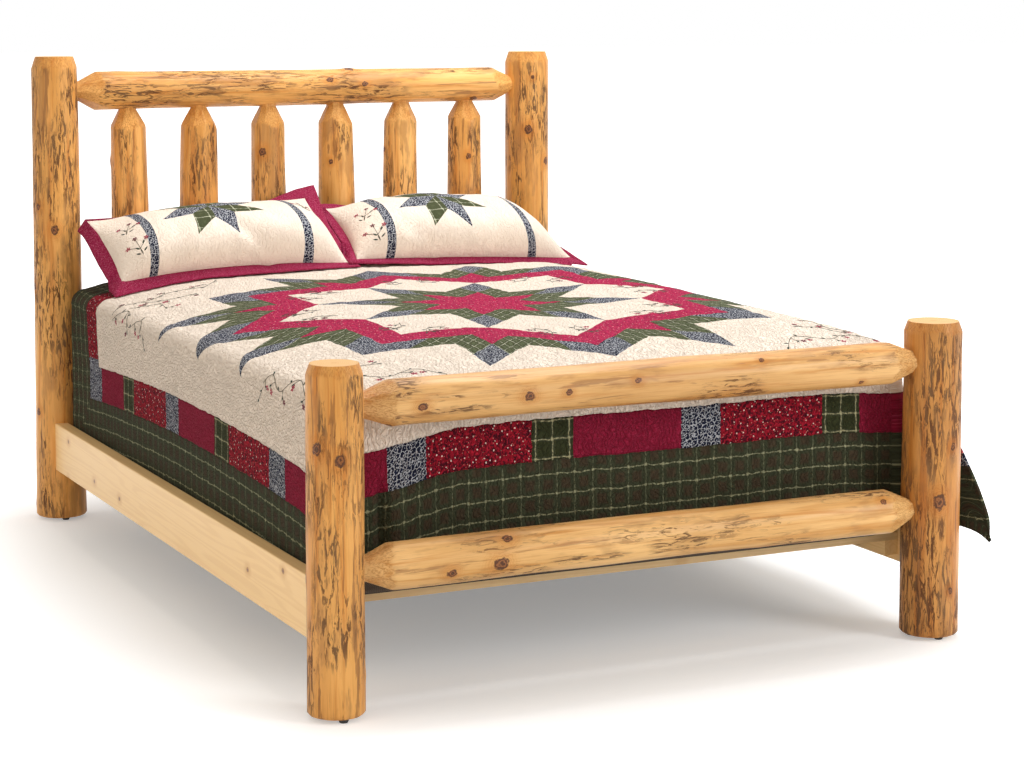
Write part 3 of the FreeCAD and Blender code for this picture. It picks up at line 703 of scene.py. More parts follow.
def print_plaid(g, x, y, ground, stripe, line, pitch, stripe_half, weft=1.0):
    """Woven plaid: soft stripes with a pale thread down the middle, brightest at crossings."""
    place = g.join(x, y)
    wobble = g.mul(g.wander(place, 34.0, 2.0), 0.006)

    def away(value):
        turn = g.math("FRACT", g.add(g.div(g.add(value, wobble), pitch), 100.5))
        return g.mul(g.abs(g.sub(turn, 0.5)), pitch)

    dx, dy = away(x), away(y)
    near = g.low(dx, dy)
    color = g.mix(g.step(near, stripe_half, stripe_half * 0.5), ground, stripe)
    slub = g.noise(g.scaled(place, (900, 160, 1)), 1.0, 2.0)
    color = g.mix(g.mul(g.step(slub, 0.5, 0.75), 0.45), color, toned(ground, 0.45))
    broken = g.noise(place, 130.0, 2.0)
    upright = g.mul(g.step(dx, 0.0019, 0.0008), weft)
    wide = g.high(upright, g.step(dy, 0.0021, 0.0008))
    strength = g.mul(wide, g.step(broken, 0.36, 0.60, 0.16, 0.85))
    crossing = g.mul(g.step(dx, 0.0045, 0.0015), g.step(dy, 0.0045, 0.0015))
    strength = g.high(strength, g.mul(crossing, 0.9))
    return g.mix(strength, color, line)


def quilting_height(g, place):
    """Close quilting: scalloped rows of stitches crossed by a wandering stipple."""
    bend = g.noise(place, 26.0, 2.0, 0.5, 0.4)
    moved = g.shifted(g.scaled(place, (1.5, 1.0, 1.0)), g.join(g.mul(bend, 0.05), g.mul(bend, 0.03)))
    stipple = g.abs(g.wander(moved, 84.0, 1.0, 0.5, 0.8))
    puff = g.step(stipple, 0.0, 0.060)
    u, v, w = g.split(place)
    scallop = g.mul(g.sine(g.mul(v, 2 * math.pi / SCALLOP)), 0.26)
    row = g.add(g.add(g.div(u, STITCH_ROW), scallop), g.mul(bend, 3.4))
    row = g.mul(g.abs(g.sub(g.math("FRACT", g.add(row, 400.0)), 0.5)), 2.0)
    rows = g.step(row, 1.0, 0.55)
    fine = g.noise(place, 210.0, 3.0, 0.6)
    thread = g.noise(place, 1500.0, 1.0)
    height = g.add(g.mul(puff, 0.55), g.mul(rows, 0.55))
    return g.add(g.add(height, g.mul(fine, 0.55)), g.mul(thread, 0.06))


def painted_crease_shade(g, color, height, depth=0.36):
    """Painted warm shade in the creases between the puffs, darkest where the quilting lies low."""
    low = g.mul(g.rest(g.step(height, 0.20, 0.95)), depth)
    return g.mix(low, color, (0.76, 0.47, 0.26), "MULTIPLY")


def cream_cloth(g, place):
    tint = g.noise(place, 9.0, 3.0)
    weave = g.noise(place, 700.0, 1.0)
    cream = g.mix(g.step(tint, 0.35, 0.65), CREAM, toned(CREAM, 0.965))
    cream = g.mix(g.mul(g.step(weave, 0.45, 0.7), 0.10), cream, CREAM_SHADE)
    return cream, quilting_height(g, place)


def choose(g, items):
    """Lay colours over each other: later ones win where their mask is 1."""
    color = items[0][1]
    for mask, item in items[1:]:
        color = g.mix(mask, color, item)
    return color


def star_place(g, across, up, side, start):
    """Place among the diamonds of an eight-pointed star, and the point that it lies in."""
    half = math.radians(22.5)
    away = g.length(across, up)
    sector = g.div(g.add(g.math("ARCTAN2", up, across), math.radians(start)), 2 * half)
    alpha = g.abs(g.mul(g.sub(g.math("FRACT", sector), 0.5), 2 * half))
    return (g.div(g.mul(away, g.cosine(alpha)), side * 2 * math.cos(half)),
            g.div(g.mul(away, g.sine(alpha)), side * 2 * math.sin(half)), sector)


def quilt_material():
    """The whole top: broken star, cream field, pieced band and plaid border."""
    g = Graph("patchwork quilt")
    smooth = g.flat()
    across = g.mul(g.wander(smooth, 62.0, 2.0), 0.006)
    along = g.mul(g.wander(g.shifted(smooth, (3.3, 8.1, 0.0)), 62.0, 2.0), 0.006)
    place = g.shifted(smooth, g.join(across, along))
    u, v, w = g.split(place)
    x, y, sector = star_place(g, u, v, STAR_SIDE, 360.0)
    a, b = g.add(x, y), g.sub(x, y)
    # The centre star: large diamonds of two by two patches
    level = g.add(g.more(a, 0.5), g.more(b, 0.5))
    in_star = g.less(a, 1.0)
    # The middle diamonds of the outer fans
    level_fan = g.add(g.more(a, 1.5), g.more(b, 1.5))
    in_fan = g.mul(g.more(b, 1.0), g.less(a, 2.0))
    # The diamonds beside the cream squares
    slant = g.add(g.sub(a, 1.0), g.mul(g.sub(b, 1.0), math.sqrt(2)))
    rim = g.mul(g.mul(g.more(a, 1.0), g.less(b, 1.0)),
                g.mul(g.more(slant, 0.0), g.less(slant, 1.0)))
    rim_red = g.mul(rim, g.less(slant, 0.5))
    rim_rest = g.mul(rim, g.more(slant, 0.5))
    rim_green = g.mul(rim_rest, g.more(b, 0.5))
    rim_navy = g.mul(rim_rest, g.less(b, 0.5))

    def of_level(index, rim_part):
        """The patches of one print in the star, the fans and the rim."""
        star, fan = (g.less(g.abs(g.sub(value, index)), 0.5) for value in (level, level_fan))
        return g.add(g.mul(in_star, star), g.add(g.mul(in_fan, fan), rim_part))

    red, green, navy = of_level(0, rim_red), of_level(1, rim_green), of_level(2, rim_navy)
    # Border: the pieced band and the plaid outside it
    au, av = g.abs(u), g.abs(v)
    far = g.high(au, av)
    on_side = g.more(au, av)
    along = g.add(g.mul(on_side, v), g.mul(g.rest(on_side), u))
    flip = g.add(g.mul(on_side, g.more(u, 0.0)), g.mul(g.rest(on_side), g.more(v, 0.0)))
    k = g.add(g.div(g.sub(along, BLOCK_PITCH / 2), BLOCK_PITCH), 20.0)
    k = g.add(k, flip)
    nearest = g.math("ROUND", k)
    short = g.less(g.abs(g.sub(k, nearest)), BLOCK_HALF / BLOCK_PITCH)
    even = g.less(g.modulo(g.add(nearest, 0.25), 2.0), 1.0)
    dotted = g.less(g.modulo(k, 2.0), 1.0)
    band = g.mul(g.more(far, BAND_IN), g.less(far, BAND_OUT))
    corner = g.more(g.low(au, av), BAND_IN)
    short = g.high(short, corner)
    long_part = g.rest(short)
    border = g.more(far, BAND_OUT)
    plaid_border = print_plaid(g, along, g.sub(far, BAND_OUT + 0.032),
                               BORDER, BORDER_SHADE, BORDER_LINE, 0.046, 0.015, 0.35)
    plaid_star = print_plaid(g, g.mul(a, STAR_SIDE), g.mul(b, STAR_SIDE),
                             GREEN, GREEN_SHADE, GREEN_WHITE, 0.038, 0.012)
    plaid_block = print_plaid(g, g.mul(g.sub(k, nearest), BLOCK_PITCH),
                              g.sub(far, (BAND_IN + BAND_OUT) / 2),
                              BLOCK_GREEN, BORDER_SHADE, BLOCK_LINE, 0.0435, 0.006)
    plain, dots, blue = print_plain(g, place), print_red(g, place), print_navy(g, place)
    cream, height = cream_cloth(g, place)
    color = choose(g, [
        (None, cream),
        (red, g.mix(0.50, dots, (0.66, 0.032, 0.150))),
        (green, plaid_star),
        (navy, blue),
        (g.mul(band, g.mul(long_part, dotted)), dots),
        (g.mul(band, g.mul(long_part, g.rest(dotted))), plain),
        (g.mul(band, g.mul(short, even)), blue),
        (g.mul(band, g.mul(short, g.rest(even))), plaid_block),
        (border, plaid_border),
    ])
    # painted warm shade in the quilting creases
    color = painted_crease_shade(g, color, height)
    seam = g.low(g.abs(g.sub(far, BAND_IN)), g.abs(g.sub(far, BAND_OUT)))
    height = g.sub(height, g.step(seam, 0.004, 0.0))
    return g.finish(color, 0.9, g.bump(height, 0.0046, 0.95), Specular_IOR_Level=0.12)


QUILT_TOP = quilt_material()


# ---------------------------------------------------------------- quilt: its form

HALF_LENGTH = 1.016         # of the mattress
CROWN_POWER = 2.4


class Quilt:
    """The laid quilt as a rectangle of top cloth with a skirt round it.

    q is the distance down the cloth from the line where the top starts to turn over.
    """

    edge = 0.045
    step = 0.0095
    rows = 52
    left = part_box("quilt")[0][0]
    right = -left
    foot = -1.0263
    head = 1.052
    top = 0.698
    crown = 0.055
    end_crown = 0.012
    fan = 8
    pleat, beside_pleat = -0.634, -0.600

    def __init__(self):
        self.x0, self.x1 = self.left + self.edge, self.right - self.edge
        self.y0, self.y1 = self.foot + self.edge, self.head - self.edge
        self.quarter = math.pi * self.edge / 2
        nx, ny = round((self.x1 - self.x0) / self.step), round((self.y1 - self.y0) / self.step)
        self.nx, self.ny = nx, ny
        self.xs = [self.x0 + (self.x1 - self.x0) * i / nx for i in range(nx + 1)]
        self.ys = [self.y0 + (self.y1 - self.y0) * j / ny for j in range(ny + 1)]

    def top_point(self, x, y):
        share = min(abs(y) / HALF_LENGTH, 1.0)
        end = self.end_crown + 0.036 * smooth_step(0.0, 0.7, y)
        rise = end + (self.crown - end) * (1 - share ** CROWN_POWER)
        z = self.top + rise * (1 - abs(x / self.x1) ** (3.6 if x < 0 else 5.0))
        z += self.right_lift(x, y)
        inner = min(1.0, max(0.0, 6 * min(self.x1 - abs(x), self.y1 - y, y - self.y0, 0.2)))
        z += 0.006 * noise.noise(Vector((x * 3.1, y * 3.1, 0.7))) * inner
        z += 0.0022 * noise.noise(Vector((x * 17, y * 17, 3.1)))
        z += 0.0013 * noise.noise(Vector((x * 46, y * 34, 5.9)))
        return Vector((x, y, z))

    def right_lift(self, x, y):
        """The padding stands a little higher along the right."""
        rise = 0.024 * smooth_step(0.15, 0.62, x) * (1 - min(abs(y) / HALF_LENGTH, 1.0) ** 6)
        return rise * (1 - smooth_step(0.52, 0.74, y))

    def hem(self, x, y, nx, ny):
        """How far down the cloth reaches below the start of the turn."""
        if ny > 0.7:
            return 0.15
        side = 0.46 - self.edge + self.quarter
        foot = self.top - self.edge - 0.318 + self.quarter
        if nx > 0.7 and y > self.y0:
            return side + self.right_lift(x, y) - 0.066 * (1 - smooth_step(-0.955, -0.925, y))
        if nx > 0:
            return foot + 0.016 * nx
        return foot + (side - foot) * smooth_step(0.0, 0.8, -nx)

    def outward(self, x, y, nx, ny, q):
        """How far the hanging cloth stands out past the turned edge."""
        drop = q - self.quarter
        if drop <= 0:
            return 0.0
        out = 0.0
        if nx > 0:
            out += 0.057 * min(drop / 0.335, 1.0) * nx
            wave = 0.007 * (1 + math.sin(2 * math.pi * 3 * y / (2 * HALF_LENGTH)))
            out += wave * smooth_step(0.25, 0.45, drop) * nx
        if ny < 0:
            low = smooth_step(0.05, 0.30, drop)
            fold = 0.004 + 0.007 * noise.noise(Vector((x * 6, 1.7, drop * 1.2)))
            fold += 0.010 * smooth_step(0.50, 0.62, -x)
            out += fold * low * -ny
            deep = smooth_step(0.14, 0.24, drop)
            out -= 0.019 * math.exp(-((x - self.pleat) / 0.010) ** 2) * deep * -ny
            out += 0.007 * math.exp(-((x - self.beside_pleat) / 0.020) ** 2) * deep * -ny
        if nx < 0:
            out -= 0.0015 * (1 + noise.noise(Vector((y * 6, 4.2, drop * 4)))) * -nx
        out += 0.0012 * noise.noise(Vector((x * 19 + y * 19, 8.2, drop * 17)))
        out += 0.0010 * noise.noise(Vector((x * 34 + y * 34, 2.2, drop * 46)))
        return out

    def skirt_point(self, x, y, nx, ny, q):
        base = self.top_point(x, y)
        if q < self.quarter:
            turn = q / self.edge
            out, down = self.edge * math.sin(turn), self.edge * (1 - math.cos(turn))
        else:
            out, down = self.edge, self.edge + q - self.quarter
        out += self.outward(x, y, nx, ny, q)
        return Vector((base.x + nx * out, base.y + ny * out, base.z - down))

    def slip(self, x, q):
        """The cloth is pulled a little further over the foot, most at the left."""
        return (0.016 + 0.030 * smooth_step(0.40, 0.68, -x)) * smooth_step(-0.15, 0.16, q)

    def ease(self, x, q):
        """How far the foot drape has slid sideways, and is gathered at its left."""
        side = -0.028 + 0.036 * smooth_step(0.30, 0.68, -x)
        return side * smooth_step(-0.25, 0.10, q) * smooth_step(-self.x1, -self.x1 + 0.03, x)

    def drift(self, q, y):
        """Cloth eased over the left edge: what the pattern gains across and along it."""
        hump = 1 - ((y + 0.05) / 0.80) ** 2
        hang = smooth_step(0.07, 0.20, q)
        across = 0.024 * hump * hang - 0.014 * smooth_step(-0.20, 0.07, q) * (1 - hang)
        across -= 0.010 * smooth_step(-0.45, -0.05, q)
        head = smooth_step(0.45, 0.72, y)
        along = head * (0.03 * smooth_step(-0.3, 0.0, q) + 0.05 * smooth_step(0.05, 0.25, q))
        return across, along - 0.022 * hang

    def flat_top(self, x, y):
        across, along = self.drift(self.x0 - x, y)
        across += self.ease(x, self.y0 - y)
        return x - STAR_X - across, y - STAR_Y + self.slip(x, self.y0 - y) + along

    def flat_skirt(self, x, y, nx, q, on_end):
        if on_end == "head":
            return x - STAR_X, self.y1 + q - STAR_Y
        if on_end:
            return x - STAR_X - self.ease(x, q), self.y0 - q - STAR_Y + self.slip(x, q)
        if nx > 0:
            return self.x1 + q - STAR_X, y - STAR_Y
        across, along = self.drift(q, y)
        return self.x0 - q - STAR_X - across, y - STAR_Y + along + self.slip(x, self.y0 - y)

    def on_cloth(self, u, v):
        """Place and outward direction of a spot given in the quilt's flat metres."""
        def place(a, b):
            x, y = a + STAR_X, b + STAR_Y
            for step in range(4):
                across, along = self.drift(self.x0 - x, y)
                across += self.ease(x, self.y0 - y)
                x, y = a + STAR_X + across, b + STAR_Y - self.slip(x, self.y0 - y) - along
            if x < self.x0:
                return self.skirt_point(self.x0, y, -1.0, 0.0, self.x0 - x)
            if x > self.x1:
                return self.skirt_point(self.x1, y, 1.0, 0.0, x - self.x1)
            if y < self.y0:
                return self.skirt_point(x, self.y0, 0.0, -1.0, self.y0 - y)
            return self.top_point(x, y)
        here = place(u, v)
        across, up = place(u + 0.004, v) - here, place(u, v + 0.004) - here
        return here, across.cross(up).normalized()

    def rim(self):
        """Columns of the skirt: place, outward direction and which flat side they belong to."""
        columns = []
        xs, ys = self.xs, self.ys

        def corner(i, j, start, sides):
            for k in range(self.fan + 1):
                turn = math.radians(start + 90.0 * k / self.fan)
                side = sides[0] if k < self.fan / 2 else sides[1]
                columns.append((xs[i], ys[j], math.cos(turn), math.sin(turn), i, j, side))

        for j in range(self.ny - 1, 0, -1):
            columns.append((xs[0], ys[j], -1.0, 0.0, 0, j, False))
        corner(0, 0, 180, (False, True))
        for i in range(1, self.nx):
            columns.append((xs[i], ys[0], 0.0, -1.0, i, 0, True))
        corner(self.nx, 0, 270, (True, False))
        for j in range(1, self.ny):
            columns.append((xs[-1], ys[j], 1.0, 0.0, self.nx, j, False))
        corner(self.nx, self.ny, 0, (False, "head"))
        for i in range(self.nx - 1, 0, -1):
            columns.append((xs[i], ys[-1], 0.0, 1.0, i, self.ny, "head"))
        corner(0, self.ny, 90, ("head", False))
        return columns

    def build(self):
        verts = [self.top_point(x, y) for y in self.ys for x in self.xs]
        faces, flat = [], []
        pairs_at = [self.flat_top(p.x, p.y) for p in verts]

        def at(i, j):
            return j * (self.nx + 1) + i

        for j in range(self.ny):
            for i in range(self.nx):
                corners = (at(i, j), at(i + 1, j), at(i + 1, j + 1), at(i, j + 1))
                faces.append(corners)
                flat += [pairs_at[k] for k in corners]
        columns = self.rim()
        rows = self.rows
        grid = []
        for x, y, nx, ny, i, j, side in columns:
            deep = self.hem(x, y, nx, ny)
            column = [at(i, j)]
            for row in range(1, rows + 1):
                column.append(len(verts))
                verts.append(self.skirt_point(x, y, nx, ny, deep * row / rows))
            grid.append(column)
        total = len(columns)
        for index in range(total):
            here, there = columns[index], columns[(index + 1) % total]
            one, two = grid[index], grid[(index + 1) % total]
            side = here[6]
            for row in range(rows):
                corners = [one[row], one[row + 1], two[row + 1], two[row]]
                pairs = []
                for (x, y, nx, ny, i, j, own), at_row in ((here, row), (here, row + 1),
                                                          (there, row + 1), (there, row)):
                    deep = self.hem(x, y, nx, ny)
                    pairs.append(self.flat_skirt(x, y, x, deep * at_row / rows, side))
                if corners[0] == corners[3]:
                    corners, pairs = corners[:3], pairs[:3]
                faces.append(tuple(corners))
                flat += pairs
        self.add_flap(verts, faces, flat)
        piece = make_piece("quilt_cloth", verts, faces, [QUILT_TOP], flat=flat)
        solid = piece.modifiers.new("thickness", "SOLIDIFY")
        solid.thickness = 0.008
        solid.offset = -1.0
        bake(piece)
        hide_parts("quilt")
        return piece

    def add_flap(self, verts, faces, flat):
        """The loose foot corner, which comes out past the right foot post."""
        upper = [Vector(p) for p in (
            (0.784, -0.930, 0.512), (0.846, -1.010, 0.494), (0.878, -1.072, 0.462),
            (0.890, -1.112, 0.405), (0.899, -1.143, 0.345), (0.910, -1.157, 0.290),
            (0.921, -1.163, 0.238))]
        lower = [Vector(p) for p in (
            (0.8185, -0.930, 0.238), (0.850, -1.000, 0.250), (0.870, -1.060, 0.256),
            (0.886, -1.104, 0.254), (0.900, -1.136, 0.246), (0.911, -1.152, 0.235),
            (0.919, -1.161, 0.224))]
        steps, rows = 36, 26

        def along(line, share):
            place = share * (len(line) - 1)
            k = min(int(place), len(line) - 2)
            return spline(line, k, place - k)

        start = len(verts)
        pairs = []
        for i in range(steps + 1):
            t = i / steps
            for j in range(rows + 1):
                share = j / rows
                point = along(upper, t).lerp(along(lower, t), share)
                belly = math.sin(math.pi * share)
                out = Vector((0.83, -0.35, 0.0)) if t > 0.45 else Vector((0.93, 0.35, 0.0))
                point += out * belly * 0.006 * math.sin(t * 9.0 + 1.0) * smooth_step(0.0, 0.3, t)
                verts.append(point)
                drop = 0.672 - point.z
                pairs.append((self.x1 + self.quarter + drop - STAR_X,
                              -0.965 - STAR_Y - t * (0.29 + 0.18 * smooth_step(0.25, 0.75, share))))

        for i in range(steps):
            for j in range(rows):
                ring = [(i, j), (i, j + 1), (i + 1, j + 1), (i + 1, j)]
                index = [a * (rows + 1) + b for a, b in ring]
                faces.append(tuple(start + k for k in index))
                flat += [pairs[k] for k in index]


quilt = Quilt()
quilt_piece = quilt.build()


# ---------------------------------------------------------------- mattress and box spring


def woven(name, base, dark, scale):
    g = Graph(name)
    place = g.object()
    x, y, z = g.split(place)
    along = g.add(x, y)
    weave = g.mul(g.sine(g.mul(along, scale)), g.sine(g.mul(z, scale)))
    tint = g.noise(g.scaled(place, (12, 12, 12)), detail=3)
    color = g.mix(g.step(weave, -0.4, 0.6), dark, base)
    color = g.mix(g.mul(g.step(tint, 0.4, 0.7), 0.15), color, dark)
    return g.finish(color, 0.9, g.bump(weave, 0.0006, 0.6), Specular_IOR_Level=0.2)


TICKING = woven("mattress ticking", (0.80, 0.79, 0.75), (0.68, 0.67, 0.62), 1500.0)
BORDER_TAPE = woven("mattress tape", (0.66, 0.66, 0.65), (0.50, 0.50, 0.50), 3000.0)
# The box spring cover is dark cloth; its warm brown tone is painted shade, matched to the shadow under the
# foot rail.
BOX_COVER_WITH_SHADE_TONE = woven("box spring cover, shade toned", (0.155, 0.125, 0.10), (0.10, 0.08, 0.065), 1200.0)
DUST_COVER = woven("dust cover", (0.035, 0.035, 0.036), (0.022, 0.022, 0.023), 2400.0)


def outline(half_x, half_y, corner, count=14):
    """Points of a rounded rectangle, anticlockwise, with outward directions."""
    points = []
    for cx, cy, start in ((1, 1, 0), (-1, 1, 90), (-1, -1, 180), (1, -1, 270)):
        for k in range(count + 1):
            turn = math.radians(start + 90 * k / count)
            n = Vector((math.cos(turn), math.sin(turn), 0))
            middle_of = Vector((cx * (half_x - corner), cy * (half_y - corner), 0))
            points.append((middle_of + n * corner, n))
    dense = []
    for index, (point, n) in enumerate(points):
        after, after_n = points[(index + 1) % len(points)]
        gap = (after - point).length
        cuts = max(1, round(gap / 0.03))
        for k in range(cuts):
            share = k / cuts
            dense.append((point.lerp(after, share), n.lerp(after_n, share).normalized()))
    return dense


def stacked(name, node, rings, materials, slot_of):
    """A closed form from stacked outlines; slot_of holds each band's material, from below."""
    n, bands = len(rings[0]), len(rings) - 1
    faces = ring_faces(0, n, bands)
    faces += [tuple(reversed(range(n))), tuple(range(bands * n, bands * n + n))]
    slots = [slot_of[k // n] for k in range(bands * n)] + [slot_of[0], slot_of[-1]]
    piece = make_piece(name, [p for ring in rings for p in ring], faces, materials, slots=slots)
    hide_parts(node)
    return piece


def sides(box, inset, corner, profile):
    """The outline of a box, and its rings from (height, how far out, material)."""
    path = outline(box[1][0] - inset, box[1][1] - inset, corner)
    rings = [[p + n * out + Vector((0, 0, box[0][2] + height)) for p, n in path]
             for height, out, material in profile]
    return path, rings, [material for height, out, material in profile]


def build_box_spring():
    """Fabric-covered box spring with a corded edge above and below."""
    profile = [(0.0, -0.30, 1), (0.0, -0.012, 1), (0.004, -0.004, 0), (0.012, 0.001, 0),
               (0.018, -0.004, 0), (0.05, 0.000, 0), (0.10, 0.002, 0), (0.15, 0.000, 0),
               (0.185, -0.004, 0), (0.191, 0.001, 0), (0.199, -0.004, 0), (0.2025, -0.012, 0),
               (0.2025, -0.30, 0)]
    path, rings, slot_of = sides(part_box("box_spring"), 0.004, 0.075, profile)
    stacked("box_spring_cover", "box_spring", rings, [BOX_COVER_WITH_SHADE_TONE, DUST_COVER], slot_of)


def build_mattress():
    """Mattress with a crowned top, taped edges and a gently bulging border."""
    profile = [(0.004, -0.25, 0), (0.002, -0.03, 0), (0.004, -0.012, 1), (0.012, -0.004, 1),
               (0.020, -0.008, 0), (0.06, -0.001, 0), (0.11, 0.001, 0), (0.16, -0.001, 0),
               (0.205, -0.008, 0), (0.214, -0.009, 1), (0.224, -0.013, 1), (0.236, -0.022, 0),
               (0.2495, -0.040, 0)]
    path, rings, slot_of = sides(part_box("mattress"), 0.003, 0.068, profile)
    for inset in (0.08, 0.16, 0.30, 0.45, 0.60):
        ring = []
        for p, n in path:
            x, y = p.x * (1 - inset / 0.75), p.y * (1 - inset)
            rise = 0.012 + 0.043 * (1 - min(abs(y) / HALF_LENGTH, 1) ** CROWN_POWER)
            ring.append(Vector((x, y, 0.686 + max(rise * (1 - (x / 0.72) ** 2), 0.0))))
        rings.append(ring)
    piece = stacked("mattress_body", "mattress", rings, [TICKING, BORDER_TAPE], slot_of + [0] * 6)


build_box_spring()
build_mattress()


# ---------------------------------------------------------------- pillow shams

SHAM_STAR = 0.0905
SHAM_BAND = 0.234
SHAM_STAR_LEFT = 0.024      # the star sits a little left of the middle


def sham_material():
    """Front of a sham: cream with two navy bands and an eight-pointed star."""
    g = Graph("sham front")
    place = g.flat()
    u, v, w = g.split(place)
    left = 360 + 45 + 2.0       # degrees
    x, y, sector = star_place(g, g.add(u, SHAM_STAR_LEFT), v, SHAM_STAR, left)
    inside = g.less(g.add(x, y), 1.0)
    even = g.less(g.modulo(g.math("FLOOR", sector), 2.0), 0.5)
    blue = print_navy(g, place)
    plaid = print_plaid(g, u, v, GREEN, GREEN_SHADE, GREEN_WHITE, 0.044, 0.026)
    band = g.less(g.abs(g.sub(g.abs(u), SHAM_BAND)), 0.014)
    cream, height = cream_cloth(g, place)
    color = choose(g, [(None, cream), (g.mul(inside, even), plaid),
                       (g.mul(inside, g.rest(even)), blue), (band, blue)])
    # painted warm shade in the quilting creases
    color = painted_crease_shade(g, color, height, 0.22)
    return g.finish(color, 0.9, g.bump(height, 0.0022, 0.75), Specular_IOR_Level=0.12)


def flange_material():
    g = Graph("burgundy flange")
    place = g.flat()
    height = quilting_height(g, place)
    fleck = g.step(g.noise(place, 260.0, 2.0), 0.53, 0.62)
    base = print_plain(g, place, FLANGE_RED, (0.55, 0.10, 0.22))
    color = g.mix(g.mul(fleck, 0.40), base, (0.60, 0.17, 0.26))
    # painted warm shade in the quilting creases
    color = painted_crease_shade(g, color, height)
    return g.finish(color, 0.9, g.bump(height, 0.0022, 0.7), Specular_IOR_Level=0.12)


def sham_back_material():
    g = Graph("sham back")
    place = g.flat()
    cream, height = cream_cloth(g, place)
    return g.finish(cream, 0.9, g.bump(height, 0.0015, 0.6), Specular_IOR_Level=0.12)


SHAM_FRONT = sham_material()
FLANGE = flange_material()
SHAM_BACK = sham_back_material()


def between(points, share):
    """A smooth curve through three points, at a share from 0 to 1."""
    a, b, c = (Vector(p) for p in points)
    bend = b * 2 - (a + c) / 2
    return a * (1 - share) ** 2 + bend * 2 * share * (1 - share) + c * share * share


